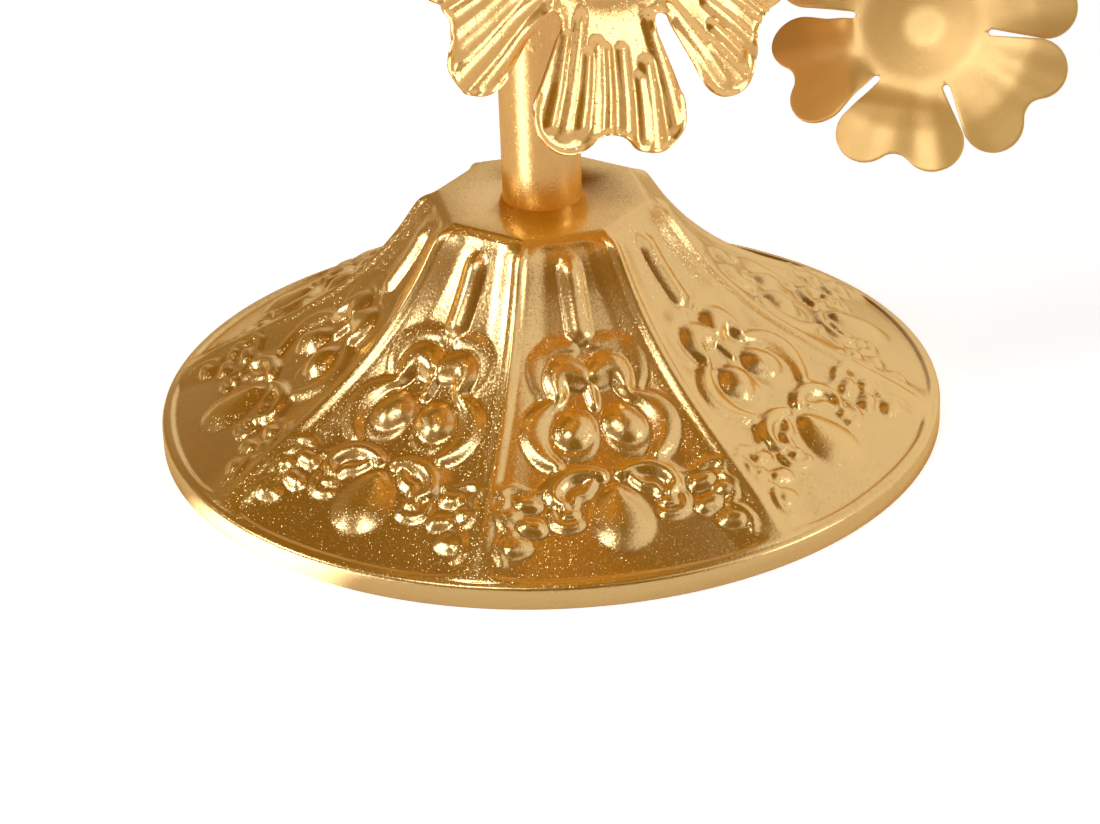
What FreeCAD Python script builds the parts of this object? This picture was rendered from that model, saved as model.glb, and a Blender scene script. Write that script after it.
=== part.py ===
# Flower candle holder: a stamped eight-panel foot, a tube stem, flowers on brazed stalks
# and a candle cup with a loose flower-shaped drip pan.
# Millimetres, +Z up, origin on the table under the middle of the stem.
import FreeCAD, Part
import math
import os
import Sketcher

Vector = FreeCAD.Vector

# Driving dimensions: every independent size, angle and count of the object
FOOT = [
    ("foot_radius", 80.0),
    ("foot_height", 49.25),
    ("foot_sheet", 1.0),
    ("rim_height", 4.85),
    ("rim_round", 0.9),
    ("rim_dip", 1.0),
    ("plate_radius", 22.35),
    ("panel_count", 8),
    ("ridge_angle", -11.43),
    ("rib_width", 2.6),
    ("rib_rise", 0.9),
    ("rib_fade_share", 0.25),
    ("flank_width", 4.0),
    ("panel_recess", 0.8),
    ("side_bow_share", 0.02),
    ("scroll_rise", 1.2),
    ("ball_share", 1.08),
    ("disc_thickness", 0.8),
    ("disc_clearance", 0.05),
    ("pad_thickness", 1.5),
    ("pad_margin", 3.0),
]
STEM = [
    ("tube_radius", 8.0),
    ("tube_wall", 1.2),
    ("tube_length", 213.0),
    ("bush_length", 8.0),
    ("bush_clearance", 0.05),
    ("rod_radius", 3.0),
    ("rod_hole_clearance", 0.2),
    ("rod_tail", 1.6),
    ("nut_flats", 10.0),
    ("nut_height", 5.0),
    ("washer_radius", 9.0),
    ("washer_thickness", 1.4),
    ("knop_radius", 12.5),
    ("knop_height", 17.0),
]
TOP = [
    ("shoulder_radius", 16.5),
    ("shoulder_thickness", 2.4),
    ("cup_radius", 12.6),
    ("cup_bore", 11.3),
    ("cup_depth", 24.0),
    ("cup_floor", 7.0),
    ("cup_edge", 0.4),
    ("rod_grip", 5.0),
    ("pan_radius", 48.0),
    ("pan_clearance", 0.3),
]
FLOWERS = [
    ("flower_sheet", 0.7),
    ("large_radius", 48.0),
    ("small_radius", 30.7),
    ("boss_radius", 4.5),
    ("boss_length", 5.0),
    ("stalk_radius", 1.8),
    ("bend_share", 0.45),
    ("petal_count", 6),
    ("clear_share", 1.1),
    ("overrun", 1.0),
]

# Each flower: how far out from the stem's axis, at which angle round it and how high its middle
# sits, which way it faces (round and up), how far it is rolled, and where its stalk meets the stem
SPRAY = {
    "front": {"size": "large_radius", "out": 45.4, "around": 17.0, "high": 125.1, "face": 37.5,
              "tilt": 20.8, "roll": -15.2, "root_high": 103.0, "root_around": 6.0, "root_rise": 5.0,
              "lead_out": 12.0, "lead_in": 15.0, "lean": 0.0, "lean_around": 0.0},
    "right": {"size": "small_radius", "out": 75.3, "around": 84.3, "high": 85.9, "face": -16.0,
              "tilt": 36.0, "roll": -3.5, "root_high": 140.0, "root_around": 106.0, "root_rise": 24.0,
              "lead_out": 46.0, "lead_in": 46.0, "lean": 82.0, "lean_around": -22.0},
    "left": {"size": "large_radius", "out": 52.0, "around": -68.0, "high": 172.0, "face": -58.0,
             "tilt": 24.0, "roll": 9.0, "root_high": 150.0, "root_around": -74.0, "root_rise": 8.0,
             "lead_out": 16.0, "lead_in": 18.0, "lean": 0.0, "lean_around": 0.0},
    "back": {"size": "small_radius", "out": 44.0, "around": 150.0, "high": 184.0, "face": 152.0,
             "tilt": 30.0, "roll": 14.0, "root_high": 166.0, "root_around": 166.0, "root_rise": 6.0,
             "lead_out": 14.0, "lead_in": 16.0, "lean": 0.0, "lean_around": 0.0},
    "upper": {"size": "small_radius", "out": 38.0, "around": 48.0, "high": 218.0, "face": 42.0,
              "tilt": 28.0, "roll": 21.0, "root_high": 200.0, "root_around": 50.0, "root_rise": 8.0,
              "lead_out": 12.0, "lead_in": 14.0, "lean": 0.0, "lean_around": 0.0},
}

# Ridge line of the foot from the plate to the rim, as shares of the way out and of the way up
RIDGE_SHARES = [
    (0.000, 1.000), (0.055, 0.922), (0.135, 0.774), (0.240, 0.620), (0.382, 0.462),
    (0.558, 0.316), (0.770, 0.166), (0.968, 0.030),
]
# Main scrollwork of a panel. Points are sideways from the panel's middle and down from the plate, as
# shares of the panel's width and length; half widths are shares of that width, heights of the rise
MIDDLE_SHARES = {
    "bar": {"points": [(0.000, 0.099), (0.000, 0.255)], "widths": (0.046, 0.046),
            "rise_share": 1.05},
    "tongue": {"points": [(0.000, 0.357), (0.000, 0.472)], "widths": (0.068, 0.023),
               "rise_share": 1.05},
    "leaf": {"points": [(0.000, 0.745), (0.000, 0.828)], "widths": (0.046, 0.111),
             "rise_share": 1.70},
}
SIDE_SHARES = {
    "upper_scroll": {"points": [(0.052, 0.290), (0.145, 0.319), (0.161, 0.408)],
                     "widths": (0.033, 0.036), "rise_share": 0.85},
    "volute": {"points": [(0.095, 0.534)], "widths": (0.065, 0.065), "rise_share": 1.30},
    "lower_scroll": {"points": [(0.140, 0.454), (0.210, 0.550), (0.166, 0.630)],
                     "widths": (0.039, 0.042), "rise_share": 1.00},
    "frond": {"points": [(0.055, 0.673), (0.150, 0.676), (0.189, 0.743)],
              "widths": (0.029, 0.031), "rise_share": 0.90},
}
# Petal outlines as shares of the flower's radius: the lobe's place along and beside the petal's
# axis, its radius, the round of the notch between the lobes, and the slot's inner end and its round
PETAL_SHARES = {
    "large_radius": {"along": 0.770, "beside": 0.198, "lobe": 0.155, "notch": 0.150,
                     "slot": 0.455, "slot_round": 0.038},
    "small_radius": {"along": 0.765, "beside": 0.215, "lobe": 0.193, "notch": 0.125,
                     "slot": 0.427, "slot_round": 0.023},
    "pan_radius": {"along": 0.780, "beside": 0.190, "lobe": 0.185, "notch": 0.130,
                   "slot": 0.560, "slot_round": 0.030},
}
# Height of the petals' front face over the flower's radius, both as shares of that radius
DISH_SHARES = [(0.12, -0.055), (0.38, -0.010), (0.72, 0.000), (1.03, -0.030)]
PAN_SHARES = [(0.46, 0.000), (0.62, 0.030), (0.84, 0.140), (1.03, 0.260)]

doc = FreeCAD.newDocument("candle_holder")
sheet = doc.addObject("Spreadsheet::Sheet", "sizes")
value = {}


def write_sheet():
    """Put every driving dimension in the sheet under its own alias."""
    rows = FOOT + STEM + TOP + FLOWERS
    for name, spot in SPRAY.items():
        rows = rows + [(name + "_" + key, amount) for key, amount in spot.items() if key != "size"]
    for number, (alias, amount) in enumerate(rows, 1):
        sheet.set("A%d" % number, alias)
        sheet.set("B%d" % number, str(amount))
        sheet.setAlias("B%d" % number, alias)
        value[alias] = amount
    doc.recompute()


class Size:
    """A length that knows both its number and the sheet expression that gives it."""

    def __init__(self, number, text):
        self.number = number
        self.text = text

    def __add__(self, other):
        return Size(self.number + other.number, "(%s + %s)" % (self.text, other.text))

    def __sub__(self, other):
        return Size(self.number - other.number, "(%s - %s)" % (self.text, other.text))

    def __mul__(self, share):
        return Size(self.number * share, "(%s * %r)" % (self.text, share))

    def __neg__(self):
        return Size(-self.number, "(-%s)" % self.text)


def size(alias):
    """The driving dimension of that name."""
    return Size(value[alias], "sizes." + alias)


def bind(thing, name, amount):
    """Tie one property of an object to the sheet."""
    thing.setExpression(name, amount.text)


def polar(across, angle, height=0.0):
    """A point from its distance to the axis, its angle in degrees and its height."""
    turn = math.radians(angle)
    return Vector(across * math.cos(turn), across * math.sin(turn), height)


def plane_of(body, role):
    """One of the body's own origin planes or axes."""
    return [item for item in body.Origin.OriginFeatures if item.Role == role][0]


# Building blocks shared by the turned and the drilled pieces
def pin_vertex(sketch, line, kind, amount):
    """Hold a line's start point at a distance from the sketch's origin."""
    if amount.number == 0.0:
        axis = -2 if kind == "DistanceX" else -1
        sketch.addConstraint(Sketcher.Constraint("PointOnObject", line, 1, axis))
        return
    if amount.number > 0.0:
        held = Sketcher.Constraint(kind, -1, 1, line, 1, amount.number)
        spot = sketch.addConstraint(held)
        bind(sketch, "Constraints[%d]" % spot, amount)
        return
    held = Sketcher.Constraint(kind, line, 1, -1, 1, -amount.number)
    spot = sketch.addConstraint(held)
    bind(sketch, "Constraints[%d]" % spot, -amount)


def turned_body(label, points):
    """A body of revolution about Z from a closed profile of (radius, height) sizes."""
    body = doc.addObject("PartDesign::Body", label)
    sketch = body.newObject("Sketcher::SketchObject", label + "_profile")
    sketch.AttachmentSupport = (plane_of(body, "XZ_Plane"), [""])
    sketch.MapMode = "FlatFace"
    count = len(points)
    for number in range(count):
        here = points[number]
        there = points[(number + 1) % count]
        start = Vector(here[0].number, here[1].number, 0)
        end = Vector(there[0].number, there[1].number, 0)
        sketch.addGeometry(Part.LineSegment(start, end), False)
    for number in range(count):
        following = (number + 1) % count
        sketch.addConstraint(Sketcher.Constraint("Coincident", number, 2, following, 1))
    for number, (across, up) in enumerate(points):
        pin_vertex(sketch, number, "DistanceX", across)
        pin_vertex(sketch, number, "DistanceY", up)
    turn = body.newObject("PartDesign::Revolution", label + "_turning")
    turn.Profile = sketch
    turn.ReferenceAxis = (sketch, ["V_Axis"])
    turn.Angle = 360.0
    doc.recompute()
    return body


def drilled(label, outside, hole, length, low):
    """A round or six-sided block with a hole right through it, standing at the height low."""
    drill = doc.addObject("Part::Cylinder", label + "_hole")
    bind(drill, "Radius", hole)
    bind(drill, "Height", length + size("overrun") * 2)
    bind(drill, "Placement.Base.z", -size("overrun"))
    piece = doc.addObject("Part::Cut", label)
    piece.Base = outside
    piece.Tool = drill
    bind(piece, "Placement.Base.z", low)
    return piece


def cylinder(label, radius, length):
    """A plain round bar along Z from the origin."""
    bar = doc.addObject("Part::Cylinder", label)
    bind(bar, "Radius", radius)
    bind(bar, "Height", length)
    return bar


# The stamped foot
def foot_ridge(inset):
    """The ridge line's (radius, height) points, moved inwards along its normal by inset."""
    rim_radius = value["foot_radius"] - value["rim_round"]
    run = rim_radius - value["plate_radius"]
    drop = value["foot_height"] - value["rim_height"]
    line = []
    for out_share, up_share in RIDGE_SHARES:
        line.append((value["plate_radius"] + out_share * run, value["rim_height"] + up_share * drop))
    # The bell runs on into the rim band, so that it crosses the band's top
    line.append((rim_radius, value["rim_height"] - value["rim_dip"]))
    # The plate is level, so its sheet is measured straight down
    moved = [(line[0][0], line[0][1] - inset)]
    last = len(line) - 1
    for number in range(1, last + 1):
        across, up = line[number]
        before = line[number - 1]
        after = line[min(number + 1, last)]
        along = Vector(after[0] - before[0], 0, after[1] - before[1])
        along.normalize()
        moved.append((across + inset * along.z, up - inset * along.x))
    return moved


def panel_point(level, turn, drop):
    """A point of the first panel at an angle from its middle, moved in by drop."""
    across, up, bulge = level[:3]
    half_step = 180.0 / value["panel_count"]
    flat = math.cos(math.radians(half_step))
    bare = across * ((1 - bulge) * flat / math.cos(math.radians(turn)) + bulge)
    return polar(bare - drop, value["ridge_angle"] + half_step + turn, up)


def panel_edges(level):
    """One panel of a level outline: flank, sunk floor arc and flank, then the raised rib arc."""
    across, up, bulge, rise, recess = level
    half_step = 180.0 / value["panel_count"]
    ridge = value["ridge_angle"]
    half_rib = math.degrees(value["rib_width"] / 2 / across)
    to_floor = half_step - half_rib - math.degrees(value["flank_width"] / across)
    crest_start = polar(across, ridge + half_rib, up)
    floor_start = panel_point(level, -to_floor, recess)
    floor_end = panel_point(level, to_floor, recess)
    crest_end = polar(across, ridge + 2 * half_step - half_rib, up)
    next_start = polar(across, ridge + 2 * half_step + half_rib, up)
    crest = polar(across + rise, ridge + 2 * half_step, up)
    return [
        Part.makeLine(crest_start, floor_start),
        Part.Arc(floor_start, panel_point(level, 0.0, recess), floor_end).toShape(),
        Part.makeLine(floor_end, crest_end),
        Part.Arc(crest_end, crest, next_start).toShape(),
    ]


def foot_levels(inset):
    """Radius, height, roundness, rib rise and panel recess of each level outline of the foot."""
    line = foot_ridge(inset)
    last = len(line) - 1
    levels = []
    for number, (across, up) in enumerate(line):
        share = number / last
        fade = min(1.0, share / value["rib_fade_share"], (1 - share) / value["rib_fade_share"])
        sunk = value["panel_recess"] if 0 < number < last else 0.0
        bulge = value["side_bow_share"] + (1 - value["side_bow_share"]) * share * share
        levels.append((across, up, bulge, value["rib_rise"] * fade, sunk))
    return levels


def round_the_foot(shape, number):
    """A copy of one panel's shape, turned to another panel."""
    copy = shape.copy()
    copy.rotate(Vector(0, 0, 0), Vector(0, 0, 1), number * 360.0 / value["panel_count"])
    return copy


def foot_skin(inset):
    """The closed bell of the foot from its plate into its rim, moved in by inset."""
    sections = []
    for level in foot_levels(inset):
        panel = panel_edges(level)
        edges = []
        for number in range(value["panel_count"]):
            edges += [round_the_foot(edge, number) for edge in panel]
        sections.append(Part.Wire(edges))
    return Part.makeLoft(sections, True, False)


class Floor:
    """The sunk floor of the first panel, from ridge to ridge, that carries the scrollwork."""

    def __init__(self):
        half_step = 180.0 / value["panel_count"]
        arcs = []
        for level in foot_levels(0.0):
            ends = [panel_point(level, turn, level[4]) for turn in (-half_step, 0.0, half_step)]
            arcs.append(Part.Wire([Part.Arc(*ends).toShape()]))
        self.surface = Part.makeLoft(arcs, False, False).Faces[0].Surface
        low, high, start, end = self.surface.bounds()
        self.middle = (low + high) / 2
        self.spread = high - low
        self.start = start
        self.line = self.surface.uIso(self.middle)
        self.length = self.line.length()
        self.width = self.surface.vIso(end).length()

    def spot(self, side, down):
        """The place and the outward direction, from a distance sideways and one down the panel."""
        along = self.line.parameterAtDistance(down, self.start)
        turn = self.middle + self.spread * side / self.surface.vIso(along).length()
        outward = self.surface.normal(turn, along)
        if outward.z < 0:
            outward = -outward
        return self.surface.value(turn, along), outward


def scroll_form(floor, form, side):
    """One raised form, a round body that lies mostly sunk in the panel's floor."""
    rise = value["scroll_rise"] * form["rise_share"]
    centres = []
    radii = []
    last = len(form["points"]) - 1
    for number, (beside, down) in enumerate(form["points"]):
        part = number / max(last, 1)
        share = form["widths"][0] * (1 - part) + form["widths"][1] * part
        width = share * floor.width
        radius = (width * width + rise * rise) / (2 * rise)
        place, outward = floor.spot(side * beside * floor.width, down * floor.length)
        centres.append(place - outward * (radius - rise))
        radii.append(radius)
    if last == 0:
        return Part.makeSphere(radii[0], centres[0])
    if last == 1:
        return tapered_bar(centres[0], radii[0], centres[1], radii[1])
    return curl(centres, min(radii))


def tapered_bar(start, start_radius, end, end_radius):
    """A round bar with ball ends that narrows from one end to the other."""
    along = end - start
    length = along.Length
    lean = math.asin((start_radius - end_radius) / length)
    sine = math.sin(lean)
    cosine = math.cos(lean)
    half = math.radians(90) + lean
    start_touch = Vector(start_radius * sine, start_radius * cosine, 0)
    end_touch = Vector(length + end_radius * sine, end_radius * cosine, 0)
    start_tip = Vector(-start_radius, 0, 0)
    end_tip = Vector(length + end_radius, 0, 0)
    start_middle = Vector(-start_radius * math.cos(half / 2), start_radius * math.sin(half / 2), 0)
    other = math.radians(180) - half
    end_middle = Vector(length + end_radius * math.cos(other / 2),
                        end_radius * math.sin(other / 2), 0)
    profile = Part.Wire([
        Part.Arc(start_tip, start_middle, start_touch).toShape(),
        Part.makeLine(start_touch, end_touch),
        Part.Arc(end_touch, end_middle, end_tip).toShape(),
        Part.makeLine(end_tip, start_tip),
    ])
    body = Part.Face(profile).revolve(Vector(0, 0, 0), Vector(1, 0, 0), 360)
    turn = FreeCAD.Rotation(Vector(1, 0, 0), along)
    body.Placement = FreeCAD.Placement(start, turn)
    return body


def curl(centres, radius):
    """A round bar bent along an arc, with a slightly thicker ball at both ends."""
    arc = Part.Arc(*centres)
    first = arc.value(arc.FirstParameter)
    heading = arc.tangent(arc.FirstParameter)[0]
    ring = Part.Wire(Part.makeCircle(radius, first, heading))
    bar = Part.Wire([arc.toShape()]).makePipeShell([ring], True, False)
    ball = radius * value["ball_share"]
    return bar.fuse([Part.makeSphere(ball, centres[0]), Part.makeSphere(ball, centres[-1])])


def scrollwork():
    """The main raised forms of all panels, kept within the foot's own room."""
    floor = Floor()
    room = Part.makeCylinder(value["foot_radius"] - value["rim_round"], value["foot_height"])
    forms = [scroll_form(floor, form, 1) for form in MIDDLE_SHARES.values()]
    for form in SIDE_SHARES.values():
        forms += [scroll_form(floor, form, side) for side in (-1, 1)]
    forms = [form.common(room) for form in forms]
    return [round_the_foot(form, number) for number in range(value["panel_count"])
            for form in forms]


def rim_band(radius, height, rounding, low):
    """The upright band at the foot's edge, with its rounded upper corner."""
    corner = Vector(radius - rounding, 0, height - rounding)
    diagonal = rounding / math.sqrt(2)
    on_round = corner + Vector(diagonal, 0, diagonal)
    shoulder = Vector(radius, 0, height - rounding)
    top = Vector(radius - rounding, 0, height)
    edges = [
        Part.makeLine(Vector(0, 0, low), Vector(radius, 0, low)),
        Part.makeLine(Vector(radius, 0, low), shoulder),
        Part.Arc(shoulder, on_round, top).toShape(),
        Part.makeLine(top, Vector(0, 0, height)),
        Part.makeLine(Vector(0, 0, height), Vector(0, 0, low)),
    ]
    return Part.Face(Part.Wire(edges)).revolve(Vector(0, 0, 0), Vector(0, 0, 1), 360)


def make_foot():
    """The foot is one drawn sheet: bell, plate and rim band, open below, drilled for the rod."""
    sheet_metal = value["foot_sheet"]
    band = rim_band(value["foot_radius"], value["rim_height"], value["rim_round"], 0.0)
    outside = foot_skin(0.0).fuse([band] + scrollwork())
    hollow = foot_skin(sheet_metal).fuse(rim_band(value["foot_radius"] - sheet_metal,
                                                  value["rim_height"] - sheet_metal,
                                                  value["rim_round"], -value["overrun"]))
    hole = Part.makeCylinder(value["rod_radius"] + value["rod_hole_clearance"],
                             value["foot_height"] + value["overrun"])
    foot = doc.addObject("Part::Feature", "foot_shell")
    foot.Shape = outside.cut(hollow).cut(hole)
    foot.Placement = FreeCAD.Placement()


def make_base():
    """A pressed-in steel disc closes the foot and a felt pad under it meets the table."""
    inner = size("foot_radius") - size("foot_sheet")
    disc = cylinder("base_disc", inner - size("disc_clearance"), size("disc_thickness"))
    bind(disc, "Placement.Base.z", size("pad_thickness"))
    cylinder("felt_pad", inner - size("pad_margin"), size("pad_thickness"))


# The stem and the rod that clamps the stack together
def make_stem():
    """Tube, end bushes, tie rod, and the washer and nut under the foot's plate."""
    hole = size("rod_radius") + size("rod_hole_clearance")
    bore = size("tube_radius") - size("tube_wall")
    length = size("tube_length")
    base = size("foot_height")
    outside = cylinder("stem_tube_outside", size("tube_radius"), length)
    drilled("stem_tube", outside, bore, length, base)
    bush = size("bush_length")
    for label, low in (("lower_bush", base), ("upper_bush", base + length - bush)):
        block = cylinder(label + "_block", bore - size("bush_clearance"), bush)
        drilled(label, block, hole, bush, low)
    under = base - size("foot_sheet") - size("washer_thickness")
    block = cylinder("foot_washer_block", size("washer_radius"), size("washer_thickness"))
    drilled("foot_washer", block, hole, size("washer_thickness"), under)
    nut_low = under - size("nut_height")
    block = doc.addObject("Part::Prism", "foot_nut_block")
    block.Polygon = 6
    bind(block, "Circumradius", size("nut_flats") * (1 / math.sqrt(3)))
    bind(block, "Height", size("nut_height"))
    drilled("foot_nut", block, size("rod_radius"), size("nut_height"), nut_low)
    rod_low = nut_low - size("rod_tail")
    rod_high = base + length + size("knop_height") + size("rod_grip")
    rod = cylinder("tie_rod", size("rod_radius"), rod_high - rod_low)
    bind(rod, "Placement.Base.z", rod_low)


def make_top():
    """The ball knop, the candle cup on it and the loose drip pan round the cup."""
    knop_low = size("foot_height") + size("tube_length")
    ball = doc.addObject("Part::Sphere", "top_knop_ball")
    bind(ball, "Radius", size("knop_radius"))
    reach = Size(math.degrees(math.asin(value["knop_height"] / 2 / value["knop_radius"])),
                 "asin(sizes.knop_height / 2 / sizes.knop_radius)")
    bind(ball, "Angle1", -reach)
    bind(ball, "Angle2", reach)
    bind(ball, "Placement.Base.z", size("knop_height") * 0.5)
    drilled("top_knop", ball, size("rod_radius") + size("rod_hole_clearance"),
            size("knop_height"), knop_low)
    none = Size(0.0, "0")
    edge = size("cup_edge")
    rim = size("cup_floor") + size("cup_depth")
    cup = turned_body("candle_cup", [
        (size("rod_radius"), none),
        (size("shoulder_radius") - edge, none),
        (size("shoulder_radius"), edge),
        (size("shoulder_radius"), size("shoulder_thickness")),
        (size("cup_radius"), size("shoulder_thickness")),
        (size("cup_radius"), rim - edge),
        (size("cup_radius") - edge, rim),
        (size("cup_bore"), rim),
        (size("cup_bore"), size("cup_floor")),
        (none, size("cup_floor")),
        (none, size("rod_grip")),
        (size("rod_radius"), size("rod_grip")),
    ])
    bind(cup, "Placement.Base.z", knop_low + size("knop_height"))
    pan = turned_body("drip_pan", pan_profile())
    cut_petals(pan, "pan_radius")
    bind(pan, "Placement.Base.z", knop_low + size("knop_height") + size("shoulder_thickness"))


# Flowers and the drip pan, cut from dished sheet
def dish_profile(radius):
    """A flower's sheet from its middle out, its front face up."""
    none = Size(0.0, "0")
    metal = size("flower_sheet")
    front = [(radius * out, radius * up) for out, up in DISH_SHARES]
    back = [(out, up - metal) for out, up in reversed(front)]
    return [(none, front[0][1])] + front + back + [(none, front[0][1] - metal)]


def pan_profile():
    """The drip pan's sheet from its hole out, rising to the petals' tips."""
    metal = size("flower_sheet")
    hole = size("cup_radius") + size("pan_clearance")
    radius = size("pan_radius")
    under = [(hole, Size(0.0, "0"))] + [(radius * out, radius * up) for out, up in PAN_SHARES]
    over = [(out, up + metal) for out, up in reversed(under)]
    return under + over


def tangent_ends(small, small_radius, big, big_radius):
    """Where a straight line touches two circles that lie on opposite sides of it."""
    apart = big - small
    distance = apart.Length
    lean = math.asin((small_radius + big_radius) / distance)
    heading = math.atan2(apart.y, apart.x) + lean
    side = Vector(math.sin(heading), -math.cos(heading), 0)
    return small + side * small_radius, big - side * big_radius


def cut_outline(radius, shares):
    """The sheet cut away between two neighbouring petals, as one closed loop."""
    half_turn = math.radians(180.0 / value["petal_count"])
    lobe = radius * shares["lobe"]
    notch = radius * shares["notch"]
    end_round = radius * shares["slot_round"]
    lobe_centre = Vector(radius * shares["along"], radius * shares["beside"], 0)
    reach = math.sqrt((lobe + notch) ** 2 - lobe_centre.y ** 2)
    notch_centre = Vector(lobe_centre.x + reach, 0, 0)
    notch_bottom = notch_centre - Vector(notch, 0, 0)
    meet = lobe_centre + (notch_centre - lobe_centre) * (lobe / (lobe + notch))
    notch_middle = notch_centre + polar(notch, 180.0 - math.degrees(
        math.atan2(lobe_centre.y, reach)) / 2)
    middle_line = Vector(math.cos(half_turn), math.sin(half_turn), 0)
    slot_centre = middle_line * (radius * shares["slot"] + end_round)
    slot_end = middle_line * (radius * shares["slot"])
    near, far = tangent_ends(slot_centre, end_round, lobe_centre, lobe)
    tip = lobe_centre + polar(lobe, math.degrees(math.atan2(lobe_centre.y, lobe_centre.x)))
    outer = radius * value["clear_share"]
    return {"notch_bottom": notch_bottom, "notch_middle": notch_middle, "meet": meet, "tip": tip,
            "far": far, "near": near, "slot_end": slot_end, "outer": outer,
            "middle_line": middle_line}


def mirrored(point, line):
    """The point on the other side of a line through the origin."""
    return line * (2 * point.dot(line)) - point


def cut_petals(body, alias):
    """Cut the slots and the scalloped tips out of a dished body, one gap at a time."""
    shape = cut_outline(value[alias], PETAL_SHARES[alias])
    line = shape["middle_line"]
    other = {key: mirrored(shape[key], line) for key in
             ("notch_bottom", "notch_middle", "meet", "tip", "far", "near")}
    sketch = body.newObject("Sketcher::SketchObject", body.Name + "_gap")
    sketch.AttachmentSupport = (plane_of(body, "XY_Plane"), [""])
    sketch.MapMode = "FlatFace"
    lift = value[alias] / 2
    sketch.AttachmentOffset = FreeCAD.Placement(Vector(0, 0, lift), FreeCAD.Rotation())
    outer_start = Vector(shape["outer"], 0, 0)
    outer_middle = line * shape["outer"]
    outer_end = mirrored(outer_start, line)
    pieces = [
        Part.Arc(shape["notch_bottom"], shape["notch_middle"], shape["meet"]),
        Part.Arc(shape["meet"], shape["tip"], shape["far"]),
        Part.LineSegment(shape["far"], shape["near"]),
        Part.Arc(shape["near"], shape["slot_end"], other["near"]),
        Part.LineSegment(other["near"], other["far"]),
        Part.Arc(other["far"], other["tip"], other["meet"]),
        Part.Arc(other["meet"], other["notch_middle"], other["notch_bottom"]),
        Part.LineSegment(other["notch_bottom"], outer_end),
        Part.Arc(outer_end, outer_middle, outer_start),
        Part.LineSegment(outer_start, shape["notch_bottom"]),
    ]
    for piece in pieces:
        sketch.addGeometry(piece, False)
    gap = body.newObject("PartDesign::Pocket", body.Name + "_slot")
    gap.Profile = sketch
    gap.Type = "ThroughAll"
    doc.recompute()
    ring = body.newObject("PartDesign::PolarPattern", body.Name + "_slots")
    ring.Originals = [gap]
    ring.Axis = (plane_of(body, "Z_Axis"), [""])
    ring.Angle = 360.0
    ring.Occurrences = int(value["petal_count"])
    body.Tip = ring
    doc.recompute()


def facing(spot):
    """Sideways, upwards and outwards directions of a flower's face."""
    face = math.radians(spot["face"])
    tilt = math.radians(spot["tilt"])
    outward = Vector(math.sin(face) * math.cos(tilt), -math.cos(face) * math.cos(tilt),
                     math.sin(tilt))
    level = Vector(math.cos(face), math.sin(face), 0)
    return level, outward.cross(level), outward


def flower_placement(spot):
    """The flower's own frame: its front along Z and its first petal straight down."""
    level, upward, outward = facing(spot)
    spin = math.radians(spot["roll"])
    down = level * math.sin(spin) - upward * math.cos(spin)
    beside = outward.cross(down)
    turn = FreeCAD.Rotation(down, beside, outward, "ZXY")
    middle = polar(spot["out"], spot["around"] - 90.0, spot["high"])
    return FreeCAD.Placement(middle, turn)


def bent_rod(points, radius):
    """A round rod along straight runs joined by the widest tangent bends that fit."""
    edges = []
    here = points[0]
    for number in range(1, len(points) - 1):
        corner = points[number]
        back = points[number - 1] - corner
        on = points[number + 1] - corner
        half = back.getAngle(on) / 2
        trim = value["bend_share"] * min(back.Length, on.Length)
        back.normalize()
        on.normalize()
        start = corner + back * trim
        end = corner + on * trim
        bend = trim * math.tan(half)
        inward = back + on
        inward.normalize()
        centre = corner + inward * (bend / math.sin(half))
        edges.append(Part.makeLine(here, start))
        edges.append(Part.Arc(start, centre - inward * bend, end).toShape())
        here = end
    edges.append(Part.makeLine(here, points[-1]))
    path = Part.Wire(edges)
    first = edges[0].Vertexes[1].Point - points[0]
    ring = Part.Wire(Part.makeCircle(radius, points[0], first))
    return path.makePipeShell([ring], True, False)


def make_flower(name):
    """One flower, the boss brazed behind its middle, and the stalk from the stem to the boss."""
    spot = {key: value[name + "_" + key] for key in SPRAY[name] if key != "size"}
    alias = SPRAY[name]["size"]
    body = turned_body(name + "_flower", dish_profile(size(alias)))
    cut_petals(body, alias)
    body.Placement = flower_placement(spot)
    sunk = size(alias) * -DISH_SHARES[0][1] + size("flower_sheet")
    boss = cylinder(name + "_boss", size("boss_radius"), size("boss_length"))
    outward = facing(spot)[2]
    middle = body.Placement.Base
    back = middle - outward * (sunk.number + value["boss_length"])
    boss.Placement = FreeCAD.Placement(back, body.Placement.Rotation)
    make_stalk(name, spot, back)


def make_stalk(name, spot, back):
    """The stalk leaves the tube, bends and runs into the back or the side of the boss."""
    level, upward, outward = facing(spot)
    lean = math.radians(spot["lean"])
    side = math.radians(spot["lean_around"])
    across = level * math.sin(side) + upward * math.cos(side)
    away = across * math.sin(lean) - outward * math.cos(lean)
    sunk = value["boss_length"] / 2 if spot["lean"] else 0.0
    finish = back + outward * sunk
    rise = math.radians(spot["root_rise"])
    root = polar(value["tube_radius"] / 2, spot["root_around"] - 90.0, spot["root_high"])
    out = polar(math.cos(rise), spot["root_around"] - 90.0, math.sin(rise))
    first_bend = root + out * (value["tube_radius"] / 2 + spot["lead_out"])
    last_bend = finish + away * spot["lead_in"]
    rod = bent_rod([root, first_bend, last_bend, finish], value["stalk_radius"])
    tube = Part.makeCylinder(value["tube_radius"], value["tube_length"],
                             Vector(0, 0, value["foot_height"]))
    stalk = doc.addObject("Part::Feature", name + "_stalk")
    seat = Part.makeCylinder(value["boss_radius"], value["boss_length"], back, outward)
    stalk.Shape = rod.cut(tube).cut(seat)
    stalk.Placement = FreeCAD.Placement()


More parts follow.
